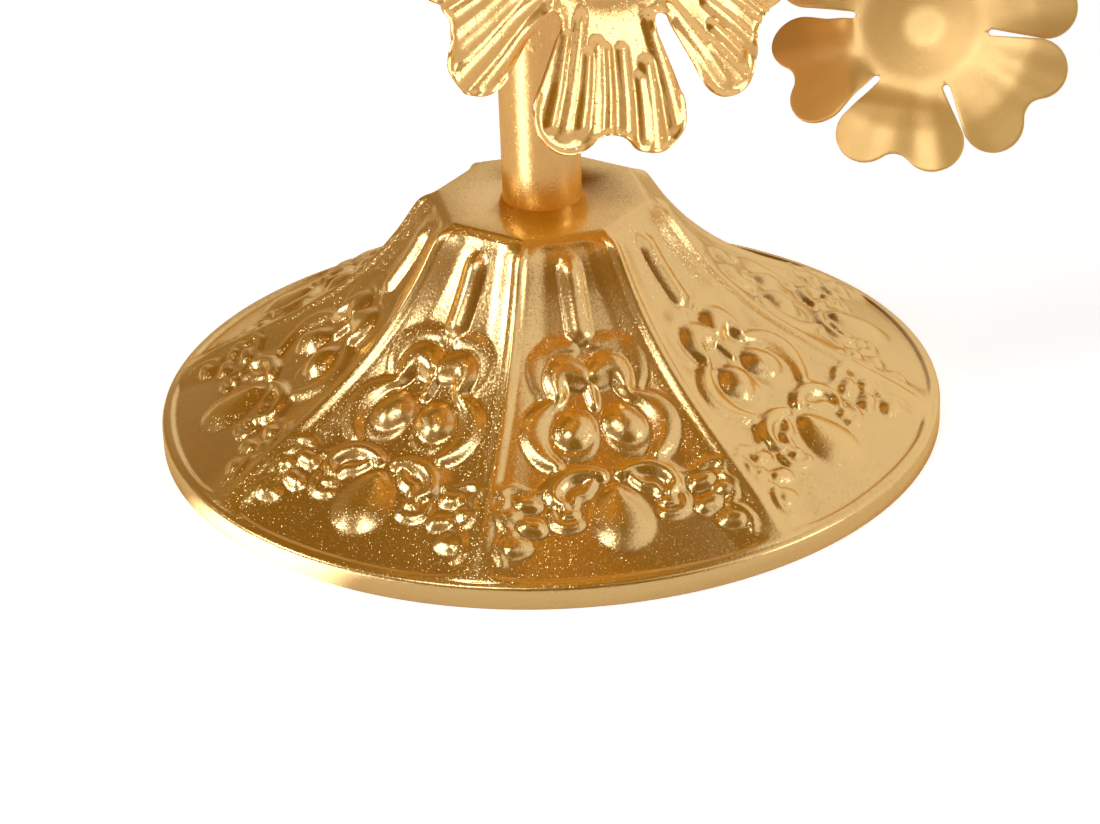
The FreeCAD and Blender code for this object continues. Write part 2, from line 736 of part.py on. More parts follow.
def main():
    """Build every piece, check it and write it out."""
    write_sheet()
    make_foot()
    make_base()
    make_stem()
    make_top()
    for name in SPRAY:
        make_flower(name)
    doc.recompute()
    failed = [item.Label for item in doc.Objects
              if "Invalid" in item.State or "Error" in item.State]
    if failed:
        raise RuntimeError("failed objects: " + ", ".join(failed))
    nodes = ["foot_shell", "base_disc", "felt_pad", "stem_tube", "lower_bush", "upper_bush",
             "tie_rod", "foot_washer", "foot_nut", "top_knop", "candle_cup", "drip_pan"]
    for name in SPRAY:
        nodes += [name + "_flower", name + "_boss", name + "_stalk"]
    os.makedirs("parts", exist_ok=True)
    for label in nodes:
        piece = doc.getObject(label)
        shape = piece.Shape
        if shape.isNull() or not shape.isValid() or len(shape.Solids) != 1:
            raise RuntimeError("bad shape: " + label)
        print(label, round(shape.Volume, 2))
    for label in nodes:
        doc.getObject(label).Shape.exportStep("parts/%s.step" % label)


main()
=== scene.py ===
# Flower candle holder: stamped scroll foot, tube stem, sheet metal flowers, candle cup and
# drip pan. Shapes are worked out in millimetres and brought to metres when a piece is finished.
import math

import bmesh
import bpy
import numpy as np
from mathutils import Matrix, Vector, noise


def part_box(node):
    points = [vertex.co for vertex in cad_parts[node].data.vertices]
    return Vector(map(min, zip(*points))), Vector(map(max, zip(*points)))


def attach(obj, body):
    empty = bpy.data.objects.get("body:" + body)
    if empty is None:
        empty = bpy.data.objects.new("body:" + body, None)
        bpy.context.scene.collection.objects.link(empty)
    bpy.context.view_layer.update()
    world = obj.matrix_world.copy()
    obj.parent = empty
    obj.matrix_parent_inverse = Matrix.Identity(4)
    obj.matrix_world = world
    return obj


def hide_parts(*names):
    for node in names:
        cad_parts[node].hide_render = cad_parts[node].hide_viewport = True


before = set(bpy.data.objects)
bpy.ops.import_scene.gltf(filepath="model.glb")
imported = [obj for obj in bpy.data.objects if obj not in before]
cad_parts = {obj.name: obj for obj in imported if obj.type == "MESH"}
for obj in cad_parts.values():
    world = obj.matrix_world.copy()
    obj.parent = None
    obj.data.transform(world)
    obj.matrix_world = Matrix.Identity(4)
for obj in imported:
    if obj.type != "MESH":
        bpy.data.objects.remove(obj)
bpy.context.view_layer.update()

bl_info = {
    "name": "Flower candle holder",
    "version": (1, 0, 0),
    "blender": (4, 5, 0),
    "location": "3D View > Sidebar > Candle holder",
    "description": "Builds the visible pieces and finishes of a gold flower candle holder",
    "category": "Add Mesh",
}

MM = 0.001
# Vertices closer than this, in millimetres, become one
MERGE = 0.002

# Bell of the foot along a ridge: shares of the way out from plate to rim and of the way up
RIDGE_SHARES = [
    (0.000, 1.000), (0.055, 0.922), (0.135, 0.774), (0.240, 0.620), (0.382, 0.462),
    (0.558, 0.316), (0.770, 0.166), (0.968, 0.030), (1.000, 0.000),
]
PLATE_RADIUS = 22.35
PLATE_EDGE_ROUND = 0.6
# Rings from the panels' upper edge on to the plate: share of the last radius, drop under the top
PLATE_RINGS = ((0.985, 0.36), (0.985, 0.18), (0.985, 0.06), (0.985, 0.0), (0.9, 0.0))
# Rings of the foot's inner side, as shares of the way down
INNER_RINGS = (0.86, 0.6, 0.3, 0.08)
RIM_ROUND = 0.9
RIM_HEIGHT = 4.85
SHEET = 1.0
ROD_HOLE = 3.2
PANELS = 8
PANEL_COLUMNS = 46
HALF_PANEL = math.radians(22.5)
FIRST_PANEL = math.radians(11.07)

# Scrollwork of half a panel: height, and points (sideways from the middle, down from the plate,
# half width there), in millimetres; the other half mirrors it
SCROLLS = {
    "long bar": (1.3, [(0, 7.4, 2.9), (0, 19.0, 2.9)]),
    "upper scroll": (0.55, [(2.6, 21.9, 2.0), (6.2, 22.3, 2.6), (8.6, 24.2, 2.8), (9.8, 26.9, 2.4),
                           (10.1, 29.4, 1.9), (9.8, 31.2, 1.3)]),
    "arch": (1.9, [(1.4, 28.4, 3.0), (3.4, 27.3, 3.6), (5.3, 27.2, 3.7), (6.6, 29.0, 3.0),
                   (6.9, 31.9, 1.8)]),
    "middle drop": (1.1, [(0, 30.6, 1.6), (0, 34.6, 1.1)]),
    "volute ball": (2.1, [(4.6, 39.2, 4.3), (5.6, 40.4, 4.3)]),
    "volute ring": (0.4, [(2.6, 36.2, 1.0), (1.7, 39.0, 1.2), (2.2, 42.8, 1.4), (4.2, 45.0, 1.4),
                          (6.8, 45.2, 1.4), (9.4, 43.4, 1.3), (10.4, 40.0, 1.3), (9.4, 36.8, 1.3),
                          (7.2, 35.2, 1.1)]),
    "lower scroll": (1.2, [(7.2, 33.2, 1.1), (10.0, 34.6, 2.1), (12.2, 37.6, 2.8),
                           (13.0, 41.2, 3.0), (12.3, 44.6, 2.6), (10.0, 47.4, 1.6)]),
    "upper frond": (1.4, [(2.0, 50.4, 1.4), (4.8, 49.5, 1.8), (8.2, 49.7, 1.9), (11.0, 51.8, 1.9),
                          (12.0, 54.6, 1.7), (10.4, 56.6, 1.3)]),
    "inner frond": (0.85, [(4.2, 52.0, 1.2), (5.9, 53.8, 1.4), (8.0, 54.5, 1.4), (8.6, 56.0, 1.2)]),
    "small curl": (0.8, [(13.0, 57.6, 1.1), (12.8, 59.9, 1.4), (10.6, 61.1, 1.4),
                         (8.4, 60.7, 1.1)]),
    "curl bead": (1.1, [(9.2, 58.4, 1.4), (10.6, 58.7, 1.4)]),
    "outer bead": (1.2, [(16.4, 55.4, 2.1), (17.8, 55.4, 2.1)]),
    "low outer bead": (1.2, [(16.6, 60.8, 2.2), (18.2, 60.5, 2.2)]),
    "side bead": (0.9, [(20.4, 58.2, 1.8), (21.2, 58.6, 1.8)]),
    "last bead": (1.0, [(20.4, 65.0, 2.4), (22.0, 65.8, 2.0)]),
    "frill": (0.55, [(9.8, 47.6, 1.2), (11.6, 50.4, 1.2), (14.0, 52.8, 1.2), (16.8, 52.6, 1.0),
                     (19.2, 51.6, 1.0), (21.6, 52.6, 1.0), (21.4, 55.2, 0.9), (22.8, 57.2, 0.9),
                     (22.8, 60.2, 0.9), (21.0, 62.2, 0.9), (23.0, 63.6, 0.9), (24.6, 66.4, 0.9),
                     (24.4, 69.2, 0.7)]),
    "leaf": (1.5, [(0, 55.0, 2.4), (0, 57.6, 4.6), (0, 60.2, 5.9), (0, 61.8, 6.2)]),
}

# Petal outlines, as shares of the flower's radius
PETALS = 6
PETAL_SHARES = {
    "large": {"along": 0.770, "beside": 0.198, "lobe": 0.155, "notch": 0.150, "slot": 0.455,
              "slot_round": 0.038},
    "small": {"along": 0.765, "beside": 0.215, "lobe": 0.193, "notch": 0.125, "slot": 0.427,
              "slot_round": 0.023},
    "pan": {"along": 0.780, "beside": 0.190, "lobe": 0.185, "notch": 0.130, "slot": 0.560,
            "slot_round": 0.030},
}
RADII = {"large": 48.0, "small": 30.7, "pan": 48.0}
# Mesh of half a petal: columns, and rows inside and outside the slots' inner ends
GRIDS = {"large": (30, 20, 48), "small": (18, 14, 28), "pan": (28, 12, 36)}
# Height of the sheet's front over the radius, from the middle out
DISH_SHARES = [(0.00, -0.055), (0.12, -0.055), (0.38, -0.010), (0.72, 0.000), (1.03, -0.030)]
PAN_SHARES = [(0.00, 0.0), (0.269, 0.0), (0.46, 0.0), (0.62, 0.030), (0.84, 0.140), (1.03, 0.260)]
HINGE_SHARE = 0.38
HINGE_FADE_SHARE = 0.20
PAN_HOLE_SHARE = 0.269
# Where on a lobe's round the petal's tip line ends and its side line starts
PETAL_CORNER = math.radians(48)
# Veins of a large petal, the width of its turned lip in millimetres, and how much of the small
# petals' waves it has
VEINS = 9
LIP_WIDTH = 1.3
VEINED_WAVES = 0.35

# Where each flower sits, in millimetres and degrees; its petals are bent up and twisted by hand,
# one after the other from the lowest petal round
FLOWER_KEYS = ("kind", "out", "around", "high", "face", "tilt", "roll", "bends", "twists")
FLOWERS = {
    "front": ("large", 45.4, 17.0, 125.1, 37.5, 20.8, -15.2, (0.0, -2.4, 5.0, -3.0, 4.0, 4.2),
              (-0.3, -2.6, 5.0, 4.0, -6.0, -12.2)),
    "right": ("small", 75.3, 84.3, 85.9, -16.0, 36.0, -3.5, (10.6, 0.2, 3.0, 2.0, 1.0, -0.4),
              (-4.5, -0.2, 6.0, -4.0, 4.2, 18.8)),
    "left": ("large", 52.0, -68.0, 172.0, -58.0, 24.0, 9.0, (3.0, -2.0, 4.0, 2.0, -3.0, 3.0),
             (5.0, -6.0, 3.0, -4.0, 7.0, -5.0)),
    "back": ("small", 44.0, 150.0, 184.0, 152.0, 30.0, 14.0, (6.0, 1.0, 4.0, -1.0, 3.0, 2.0),
             (-6.0, 4.0, -3.0, 8.0, -4.0, 6.0)),
    "upper": ("small", 38.0, 48.0, 218.0, 42.0, 28.0, 21.0, (2.0, 5.0, 0.0, 4.0, 1.0, 3.0),
              (4.0, -7.0, 5.0, -3.0, 6.0, -4.0)),
}

# Brazing patches on the tube: angle round the stem, upper and lower end, in millimetres; they
# reach this far to both sides, and sink below the tube at their edge
BRAZING = {"front": (13.0, 107.0, 76.0), "right": (106.0, 146.0, 132.0),
           "left": (-74.0, 158.0, 143.0), "back": (166.0, 173.0, 159.0),
           "upper": (50.0, 207.0, 193.0)}
BRAZE_WIDTH = 6.5
BRAZE_EDGE = 0.97
BRAZE_SUNK = -0.3
BRAZE_WALL = 0.4
BRAZE_GRID = (56, 72)
TUBE_RADIUS = 8.0

# The camera that took the picture: place and directions in the part's frame, millimetres
CAMERA_PLACE = (-0.243, -674.138, 354.322)
CAMERA_RIGHT = (0.99918775, -0.0187516, -0.03566829)
CAMERA_UP = (0.04029701, 0.46495677, 0.88441583)
CAMERA_BACK = (0.0, -0.88513478, 0.46533474)
CAMERA_LENS = 120.43

# Soft boxes: place, width and height in metres, and brightness beside the lamps' setting; all
# shine towards the foot
SOFT_BOXES = [
    ("soft_box_left", (-0.95, -0.12, 0.50), 0.42, 0.36, 2.8),
    ("soft_box_front", (-0.38, -0.53, 0.94), 0.40, 0.40, 2.20),
    ("soft_box_right", (1.0, -0.38, 0.24), 0.44, 0.38, 1.6),
]
AIM_HEIGHT = 0.05
# The ceiling is dark inside an ellipse of directions: middle, half widths and its soft edge
CEILING_MIDDLE = (-0.16, 0.02)
CEILING_REACH = (0.62, 0.80)
CEILING_EDGE = (0.82, 1.12)
# Dark screens: direction, and the cosines at which each starts and is full
DARK_SCREENS = [((0.20, -0.93, 0.30), 0.78, 0.90), ((0.93, -0.34, 0.12), 0.89, 0.97)]
# The walls get brighter from left to right: X of the direction, and brightness
WALL_SPAN = (-0.5, 0.15)
WALL_TONES = (0.13, 1.0)
# The table's own glow keeps it white; in what the metal mirrors, one part of it glows brighter, a
# painted pool of light
TABLE_RADIUS = 6.0
TABLE_GLOW = 0.60
PAINTED_POOL_TOWARD = (-0.75, -0.66, 0)
PAINTED_POOL_EDGE = (0.94, 0.995)
PAINTED_POOL_GLOW = (0.4, 8.0)


def length_setting(name, description, value, least=0.0):
    """A length in metres, with its label."""
    return bpy.props.FloatProperty(name=name, description=description, default=value, min=least,
                                   unit="LENGTH", precision=5)


def share_setting(name, description, value, most):
    """A plain factor, with its label."""
    return bpy.props.FloatProperty(name=name, description=description, default=value, min=0.0,
                                   max=most, subtype="FACTOR")


def colour_setting(name, description, value):
    """A colour, with its label."""
    return bpy.props.FloatVectorProperty(name=name, description=description, default=value,
                                         min=0.0, max=1.0, subtype="COLOR", size=3)


class HolderSizes(bpy.types.PropertyGroup):
    """Depths and heights of the metalwork."""

    recess: length_setting("Panel depth", "How deep the panels lie between the ribs", 0.8 * MM)
    rib: length_setting("Rib height", "How high the ribs stand over the ridge line", 0.9 * MM)
    scroll: share_setting("Scroll height", "Height of the scrollwork, 1 is as stamped", 1.0, 2.0)
    vein: length_setting("Vein height", "How high the veins stand on large petals", 0.8 * MM)
    braze: length_setting("Braze", "How thick the braze lies on the tube", 1.0 * MM)
    sheet: length_setting("Petal sheet", "Thickness of the petals' sheet", 0.7 * MM, 0.0001)


class HolderColours(bpy.types.PropertyGroup):
    """Colours of the finishes."""

    foot: colour_setting("Foot gold", "Amber lacquer of the foot", (0.74, 0.305, 0.006))
    stem: colour_setting("Stem gold", "Satin gold of the stem and its parts", (0.90, 0.40, 0.035))
    veined: colour_setting("Veined petals", "Gold of the large petals", (1.0, 0.41, 0.008))
    smooth: colour_setting("Smooth petals", "Gold of the small petals", (1.0, 0.56, 0.13))
    foot_shine: colour_setting("Foot shine", "Tint of what the foot mirrors", (1.0, 0.775, 0.38))
    upper_shine: colour_setting("Upper shine", "Tint of what stem and flowers mirror",
                                (1.0, 0.71, 0.33))
    steel: colour_setting("Steel", "Plated steel inside the foot", (0.60, 0.60, 0.62))
    felt: colour_setting("Felt", "Felt under the foot", (0.035, 0.035, 0.038))


class HolderStudio(bpy.types.PropertyGroup):
    """The studio round the candle holder."""

    floor: colour_setting("Floor", "Colour of the table", (0.80, 0.80, 0.80))
    lamps: share_setting("Soft boxes", "How bright they are beside the white walls", 2.8, 10.0)
    ceiling: share_setting("Ceiling", "How bright the studio's dark parts are", 0.015, 1.0)


# Help with meshes
def as_array(mesh):
    """The places of a bmesh's vertices as rows."""
    return np.array([vertex.co for vertex in mesh.verts], float).reshape(-1, 3)


def put_back(mesh, places):
    """Move a bmesh's vertices to the given rows."""
    for vertex, place in zip(mesh.verts, places):
        vertex.co = place


def unit_grid(across, along):
    """A flat grid from 0 to 1 both ways, as a bmesh."""
    mesh = bmesh.new()
    bmesh.ops.create_grid(mesh, x_segments=across, y_segments=along, size=0.5)
    bmesh.ops.translate(mesh, verts=mesh.verts, vec=(0.5, 0.5, 0.0))
    return mesh


def repeat_round(mesh, count):
    """Mirror a sector over the X axis and set it round Z count times, closing the seams."""
    bmesh.ops.mirror(mesh, geom=mesh.verts[:] + mesh.edges[:] + mesh.faces[:], axis="Y",
                     matrix=Matrix.Identity(4), merge_dist=MERGE)
    bmesh.ops.spin(mesh, geom=mesh.verts[:] + mesh.edges[:] + mesh.faces[:], cent=(0, 0, 0),
                   axis=(0, 0, 1), angle=math.tau * (count - 1) / count, steps=count - 1,
                   use_duplicate=True)
    bmesh.ops.remove_doubles(mesh, verts=mesh.verts, dist=MERGE)


def mark_painted_shade(mesh, amounts):
    """Note on each vertex how much shade is painted on it, most in hollows."""
    layer = mesh.verts.layers.float.new("painted_hollow_shade")
    for vertex, amount in zip(mesh.verts, amounts):
        vertex[layer] = amount


def draw_on(mesh, edges, place):
    """Extrude a loop of edges and move its new vertices by a function of the old place."""
    made = bmesh.ops.extrude_edge_only(mesh, edges=edges)["geom"]
    for vertex in made:
        if isinstance(vertex, bmesh.types.BMVert):
            vertex.co = place(vertex.co.copy())
    return [edge for edge in made if isinstance(edge, bmesh.types.BMEdge)]


def ring_move(radius, height):
    """A move that keeps a vertex's direction from the axis and gives it a radius and height."""
    def move(place):
        across = Vector((place.x, place.y, 0.0)).normalized() * radius
        return Vector((across.x, across.y, height))
    return move


def new_object(name, data):
    """A mesh, lamp or camera as an object in the scene."""
    made = bpy.data.objects.new(name, data)
    bpy.context.scene.collection.objects.link(made)
    return made


def mesh_object(name, mesh, material):
    """A bmesh as an object in the scene, with its material."""
    data = bpy.data.meshes.new(name)
    mesh.to_mesh(data)
    mesh.free()
    data.materials.append(material)
    return new_object(name, data)


def finish_piece(mesh, name, material, body, node, outward=True):
    """Bring a bmesh to metres and make it a piece, which can stand for a node."""
    if outward:
        bmesh.ops.recalc_face_normals(mesh, faces=mesh.faces)
    bmesh.ops.scale(mesh, vec=(MM, MM, MM), verts=mesh.verts)
    for face in mesh.faces:
        face.smooth = True
    piece = mesh_object(name, mesh, material)
    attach(piece, body)
    if node:
        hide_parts(node)
    return piece


def smooth_line(points, steps=6):
    """Rows along a smooth curve through the given ones."""
    spots = [np.array(point, float) for point in points]
    if len(spots) == 2:
        return spots
    spots = [2 * spots[0] - spots[1]] + spots + [2 * spots[-1] - spots[-2]]
    line = []
    for number in range(1, len(spots) - 2):
        before, here, there, after = spots[number - 1:number + 3]
        for step in range(steps):
            share = step / steps
            line.append(0.5 * (2 * here + (there - before) * share
                               + (2 * before - 5 * here + 4 * there - after) * share ** 2
                               + (3 * here - before - 3 * there + after) * share ** 3))
    return line + [spots[-2]]


def ridge_over(across, along, points):
    """Height from 0 to 1 of a rounded ridge; its points hold place and half width."""
    line = smooth_line(points)
    nearest = np.full(across.shape, 1e9)
    for start, end in zip(line, line[1:]):
        step = end - start
        reach = step[0] ** 2 + step[1] ** 2
        share = ((across - start[0]) * step[0] + (along - start[1]) * step[1]) / reach
        share = np.clip(share, 0.0, 1.0)
        gap = np.hypot(across - start[0] - share * step[0], along - start[1] - share * step[1])
        nearest = np.minimum(nearest, gap / (start[2] + share * step[2]))
    return np.cos(math.pi / 2 * np.clip(nearest, 0.0, 1.0)) ** 0.9


def ease(amount):
    """Smooth step from 0 to 1."""
    amount = np.clip(amount, 0.0, 1.0)
    return amount * amount * (3 - 2 * amount)


# The stamped foot
def hermite(values, share):
    """A smooth curve through evenly spaced values, read at shares from 0 to 1."""
    values = np.array(values, float)
    slopes = np.gradient(values)
    spot = np.clip(share, 0.0, 1.0) * (len(values) - 1)
    low = np.minimum(spot.astype(int), len(values) - 2)
    part = spot - low
    start, end = values[low], values[low + 1]
    lean, after = slopes[low], slopes[low + 1]
    return (start * (1 + 2 * part) * (1 - part) ** 2 + end * part ** 2 * (3 - 2 * part)
            + lean * part * (1 - part) ** 2 - after * part ** 2 * (1 - part))


class Bell:
    """The bare bell of the foot, before its ribs and scrollwork are stamped."""

    def __init__(self, foot_radius, foot_height):
        outer = foot_radius - RIM_ROUND
        self.radii = [PLATE_RADIUS + share * (outer - PLATE_RADIUS) for share, _ in RIDGE_SHARES]
        rise = foot_height - RIM_HEIGHT
        self.heights = [RIM_HEIGHT + share * rise for _, share in RIDGE_SHARES]
        self.shares = np.linspace(0.0, 1.0, 401)
        across, up = self.line(self.shares, 0.0)
        steps = np.hypot(np.diff(across), np.diff(up))
        self.lengths = np.concatenate([[0.0], np.cumsum(steps)])
        self.length = self.lengths[-1]

    def line(self, share, turn):
        """Radius and height at a share of the way down and an angle from the panel's middle."""
        ridge = hermite(self.radii, share)
        roundness = share * share
        across = ridge * ((1 - roundness) * math.cos(HALF_PANEL) / np.cos(turn) + roundness)
        return across, hermite(self.heights, share)

    def place(self, share, turn):
        """Place on the bell with the panel's middle along X."""
        across, up = self.line(share, turn)
        return np.stack([across * np.cos(turn), across * np.sin(turn), up], -1)

    def share_at(self, down):
        """Share of the way down for a distance along the panel's middle."""
        return np.interp(down, self.lengths, self.shares)

    def half_chord(self, share):
        """Half the width of a panel at a share of the way down."""
        return hermite(self.radii, share) * math.sin(HALF_PANEL)

    def outward(self, share, turn):
        """Directions in which the stamping moves the sheet; on a ridge they stay in its plane."""
        step = 1e-4
        high = np.minimum(share, 1.0 - step)
        along = self.place(high + step, turn) - self.place(high, turn)
        round_step = self.place(share, turn + step) - self.place(share, turn - step)
        facet = np.cross(along, round_step)
        facet /= np.linalg.norm(facet, axis=-1, keepdims=True)
        across, up = self.line(high, turn)
        next_across, next_up = self.line(high + step, turn)
        lean = np.arctan2(next_across - across, up - next_up)
        ridge = np.stack([np.cos(lean) * math.cos(HALF_PANEL), np.cos(lean) * math.sin(HALF_PANEL),
                          np.sin(lean)], -1)
        away = (HALF_PANEL - turn) * across
        blend = np.exp(-(away / 2.0) ** 2)[..., None]
        mixed = facet * (1 - blend) + ridge * blend
        return mixed / np.linalg.norm(mixed, axis=-1, keepdims=True)


def stamped_height(bell, down, turn, sizes):
    """Height of ribs, panel floor and scrollwork over the bare bell, and how deep the floor is,
    which the finish paints as shade.
    """
    share = bell.share_at(down)
    side = turn / HALF_PANEL * bell.half_chord(share)
    to_ridge = (1 - turn / HALF_PANEL) * bell.half_chord(share) * 0.96
    run = down / bell.length
    # The floor drops beside the rib, over a flank that gets wider down the panel
    drop = ease((to_ridge - 0.8 - 1.2 * run) / (4.4 + 3.2 * run))
    # It starts below the plate and ends before the rim, earlier in the panel's corners
    edge = bell.length - 1.0 - 3.0 * (turn / HALF_PANEL) ** 6
    inside = ease((down - 0.4) / 2.4) * (1 - ease((down - edge + 0.9) / 0.9))
    # The ribs rise below the plate and die out before the rim; a bead runs along their middle
    fade = ease(down / 4.0) * (1 - ease((down - 62.0) / 11.0))
    bead = np.cos(math.pi / 2 * np.clip(to_ridge / (1.3 + 0.9 * run), 0.0, 1.0))
    crest = sizes.rib / MM * fade * (0.3 * (1 - drop) + 0.7 * bead)
    # The floor is a little crowned along its middle, most at its upper end
    crown = 0.45 * inside * drop * np.clip(1 - np.abs(side) / 12.0, 0.0, 1.0) * (1 - run)
    height = crest + crown - sizes.recess / MM * inside * drop
    raised = np.zeros(down.shape)
    for tall, points in SCROLLS.values():
        raised = np.maximum(raised, tall * ridge_over(side, down, points))
    # The second value is how much shade is painted on the panel floor, less on the scrollwork
    return height + raised * sizes.scroll, drop * inside * (1 - np.clip(raised, 0.0, 1.0))


def row_spots(length):
    """Distances down the panel at which rows of the mesh lie, closest over the scrollwork."""
    parts = ((0.0, 4.0, 6), (4.0, 19.0, 12), (19.0, 69.0, 77), (69.0, 71.5, 4))
    rows = [np.linspace(start, end, count, endpoint=False) for start, end, count in parts]
    return np.concatenate(rows + [np.linspace(71.5, length, 12)])


def build_foot(sizes, material):
    """The foot's drawn sheet: plate, ribs, panels with scrollwork, rim band and inner side."""
    _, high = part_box("foot_shell")
    foot_radius = high.x / MM
    foot_height = high.z / MM
    bell = Bell(foot_radius, foot_height)
    rows = row_spots(bell.length)
    mesh = unit_grid(PANEL_COLUMNS, len(rows) - 1)
    flat = as_array(mesh)
    turn = flat[:, 0] * HALF_PANEL
    down = rows[np.rint(flat[:, 1] * (len(rows) - 1)).astype(int)]
    share = bell.share_at(down)
    lift, shade_depth = stamped_height(bell, down, turn, sizes)
    places = bell.place(share, turn) + bell.outward(share, turn) * lift[:, None]
    places[:, 1] = np.where(turn == 0.0, 0.0, places[:, 1])
    places[:, 2] -= PLATE_EDGE_ROUND * np.clip(1 - down / 2.6, 0.0, 1.0) ** 2
    put_back(mesh, places)
    # Painted shade: the recessed panel floor is painted darker
    mark_painted_shade(mesh, shade_depth)
    repeat_round(mesh, PANELS)
    rims = [edge for edge in mesh.edges if edge.is_boundary]
    plate = [edge for edge in rims if edge.verts[0].co.z > foot_height / 2]
    rim = [edge for edge in rims if edge.verts[0].co.z < foot_height / 2]

    def shrink(factor, height):
        return lambda place: Vector((place.x * factor, place.y * factor, height))

    for factor, lower in PLATE_RINGS:
        plate = draw_on(mesh, plate, shrink(factor, foot_height - lower))
    plate = draw_on(mesh, plate, ring_move(ROD_HOLE, foot_height))
    corner_radius = foot_radius - RIM_ROUND
    corner_height = RIM_HEIGHT - RIM_ROUND
    for step in range(1, 4):
        tilt = math.pi / 2 * step / 3
        rim = draw_on(mesh, rim, ring_move(corner_radius + RIM_ROUND * math.sin(tilt),
                                           corner_height + RIM_ROUND * math.cos(tilt)))
    edge_round = SHEET / 4
    for radius, height in ((foot_radius, edge_round), (foot_radius - edge_round, 0.0),
                           (foot_radius - SHEET, 0.0), (foot_radius - SHEET, corner_height)):
        rim = draw_on(mesh, rim, ring_move(radius, height))
    wall = SHEET + sizes.recess / MM
    for share in INNER_RINGS:
        inner, up = bell.line(np.array(share), np.array(0.0))
        rim = draw_on(mesh, rim, ring_move(float(inner) - wall, float(up) - wall))
    rim = draw_on(mesh, rim, ring_move(ROD_HOLE, foot_height - wall))
    bmesh.ops.bridge_loops(mesh, edges=plate + rim)
    bmesh.ops.remove_doubles(mesh, verts=mesh.verts, dist=MERGE / 2)
    turn_round = Matrix.Rotation(FIRST_PANEL - math.pi / 2, 3, "Z")
    bmesh.ops.rotate(mesh, cent=(0, 0, 0), matrix=turn_round, verts=mesh.verts)
    finish_piece(mesh, "stamped_foot", material, "holder", "foot_shell")


# Petals of the flowers and of the drip pan
def arc_points(centre, radius, start, end, count):
    """Points on an arc between two angles."""
    angles = np.linspace(start, end, count)
    return np.stack([centre[0] + radius * np.cos(angles), centre[1] + radius * np.sin(angles)], -1)


def even_spots(points, count):
    """The same line with count evenly spaced points."""
    steps = np.hypot(*np.diff(points, axis=0).T)
    way = np.concatenate([[0.0], np.cumsum(steps)])
    wanted = np.linspace(0.0, way[-1], count)
    return np.stack([np.interp(wanted, way, points[:, axis]) for axis in (0, 1)], -1)


def petal_edges(shape, corner):
    """Half a petal's tip line from its notch, and side line from the slot, up to one corner."""
    half_turn = math.pi / PETALS
    lobe, notch, end_round = shape["lobe"], shape["notch"], shape["slot_round"]
    centre = np.array([shape["along"], shape["beside"]])
    reach = math.sqrt((lobe + notch) ** 2 - centre[1] ** 2)
    notch_centre = np.array([centre[0] + reach, 0.0])
    meet_turn = math.atan2(centre[1], reach)
    middle = np.array([math.cos(half_turn), math.sin(half_turn)])
    slot_centre = middle * (shape["slot"] + end_round)
    apart = centre - slot_centre
    lean = math.asin((end_round + lobe) / math.hypot(*apart))
    heading = math.atan2(apart[1], apart[0]) + lean
    touch = heading - math.pi / 2
    lobe_touch = touch + math.pi
    tip = np.concatenate([
        arc_points(notch_centre, notch, math.pi, math.pi - meet_turn, 16),
        arc_points(centre, lobe, -meet_turn, corner, 40)[1:],
    ])
    side = np.concatenate([
        arc_points(slot_centre, end_round, math.pi + half_turn, math.tau + touch, 24),
        arc_points(centre, lobe, lobe_touch, corner, 40),
    ])
    return tip, side


def half_petal(shape, across, inner_rows, outer_rows, inner_share):
    """Places of half a petal's grid as shares of the radius, its axis along X."""
    tip, side = petal_edges(shape, PETAL_CORNER)
    half_turn = math.pi / PETALS
    columns = np.linspace(0.0, 1.0, across + 1)
    rows = np.linspace(0.0, 1.0, outer_rows + 1)
    slot = shape["slot"]
    inner = slot * np.stack([np.cos(columns * half_turn), np.sin(columns * half_turn)], -1)
    tip = even_spots(tip, across + 1)
    side = even_spots(side, outer_rows + 1)
    axis = np.stack([slot + (tip[0, 0] - slot) * rows, np.zeros(outer_rows + 1)], -1)
    column, row = np.meshgrid(columns, rows)
    column, row = column[..., None], row[..., None]
    net = ((1 - column) * axis[:, None] + column * side[:, None]
           + (1 - row) * inner[None] + row * tip[None]
           - (1 - column) * (1 - row) * inner[0] - column * (1 - row) * inner[-1]
           - (1 - column) * row * tip[0] - column * row * tip[-1])
    middle_shares = np.linspace(inner_share / slot, 1.0, inner_rows + 1)[:-1]
    middle = inner[None] * middle_shares[:, None, None]
    return np.concatenate([middle, net])


def veins(across, along, radius, seed):
    """Height from 0 to 1 of a large petal's embossed veins, unlike on every petal."""
    draw = np.random.default_rng(seed)
    height = np.zeros(across.shape)
    half_count = (VEINS - 1) / 2
    for number in range(VEINS):
        spread = (number - half_count) / half_count
        start_turn = math.radians(spread * 23 + draw.uniform(-1.5, 1.5))
        end_turn = start_turn * 0.86 + math.radians(draw.uniform(-1.0, 1.0))
        start = radius * (0.38 + 0.32 * draw.random() + 0.04 * abs(spread))
        end = radius * (0.95 - 0.14 * draw.random() ** 2)
        half_width = draw.uniform(1.0, 2.2)
        tall = draw.uniform(0.5, 1.0)
        line = [(start * math.sin(start_turn), start * math.cos(start_turn), half_width),
                (end * math.sin(end_turn), end * math.cos(end_turn), half_width * 1.35)]
        height = np.maximum(height, tall * ridge_over(across, along, line))
    return height


def ripples(across, along, radius, seed):
    """Soft waves of a smooth petal, growing to its edge, in millimetres."""
    draw = np.random.default_rng(seed)
    turn = np.arctan2(across, np.maximum(along, 1e-6))
    out = ease((along / radius - 0.35) / 0.5)
    waves = np.zeros(across.shape)
    for amount, spread in ((0.55, 5.5), (0.32, 11.0), (0.16, 19.0)):
        waves += amount * draw.uniform(0.6, 1.0) * np.sin(turn * spread + draw.uniform(0, math.tau))
    return waves * out * radius / 40


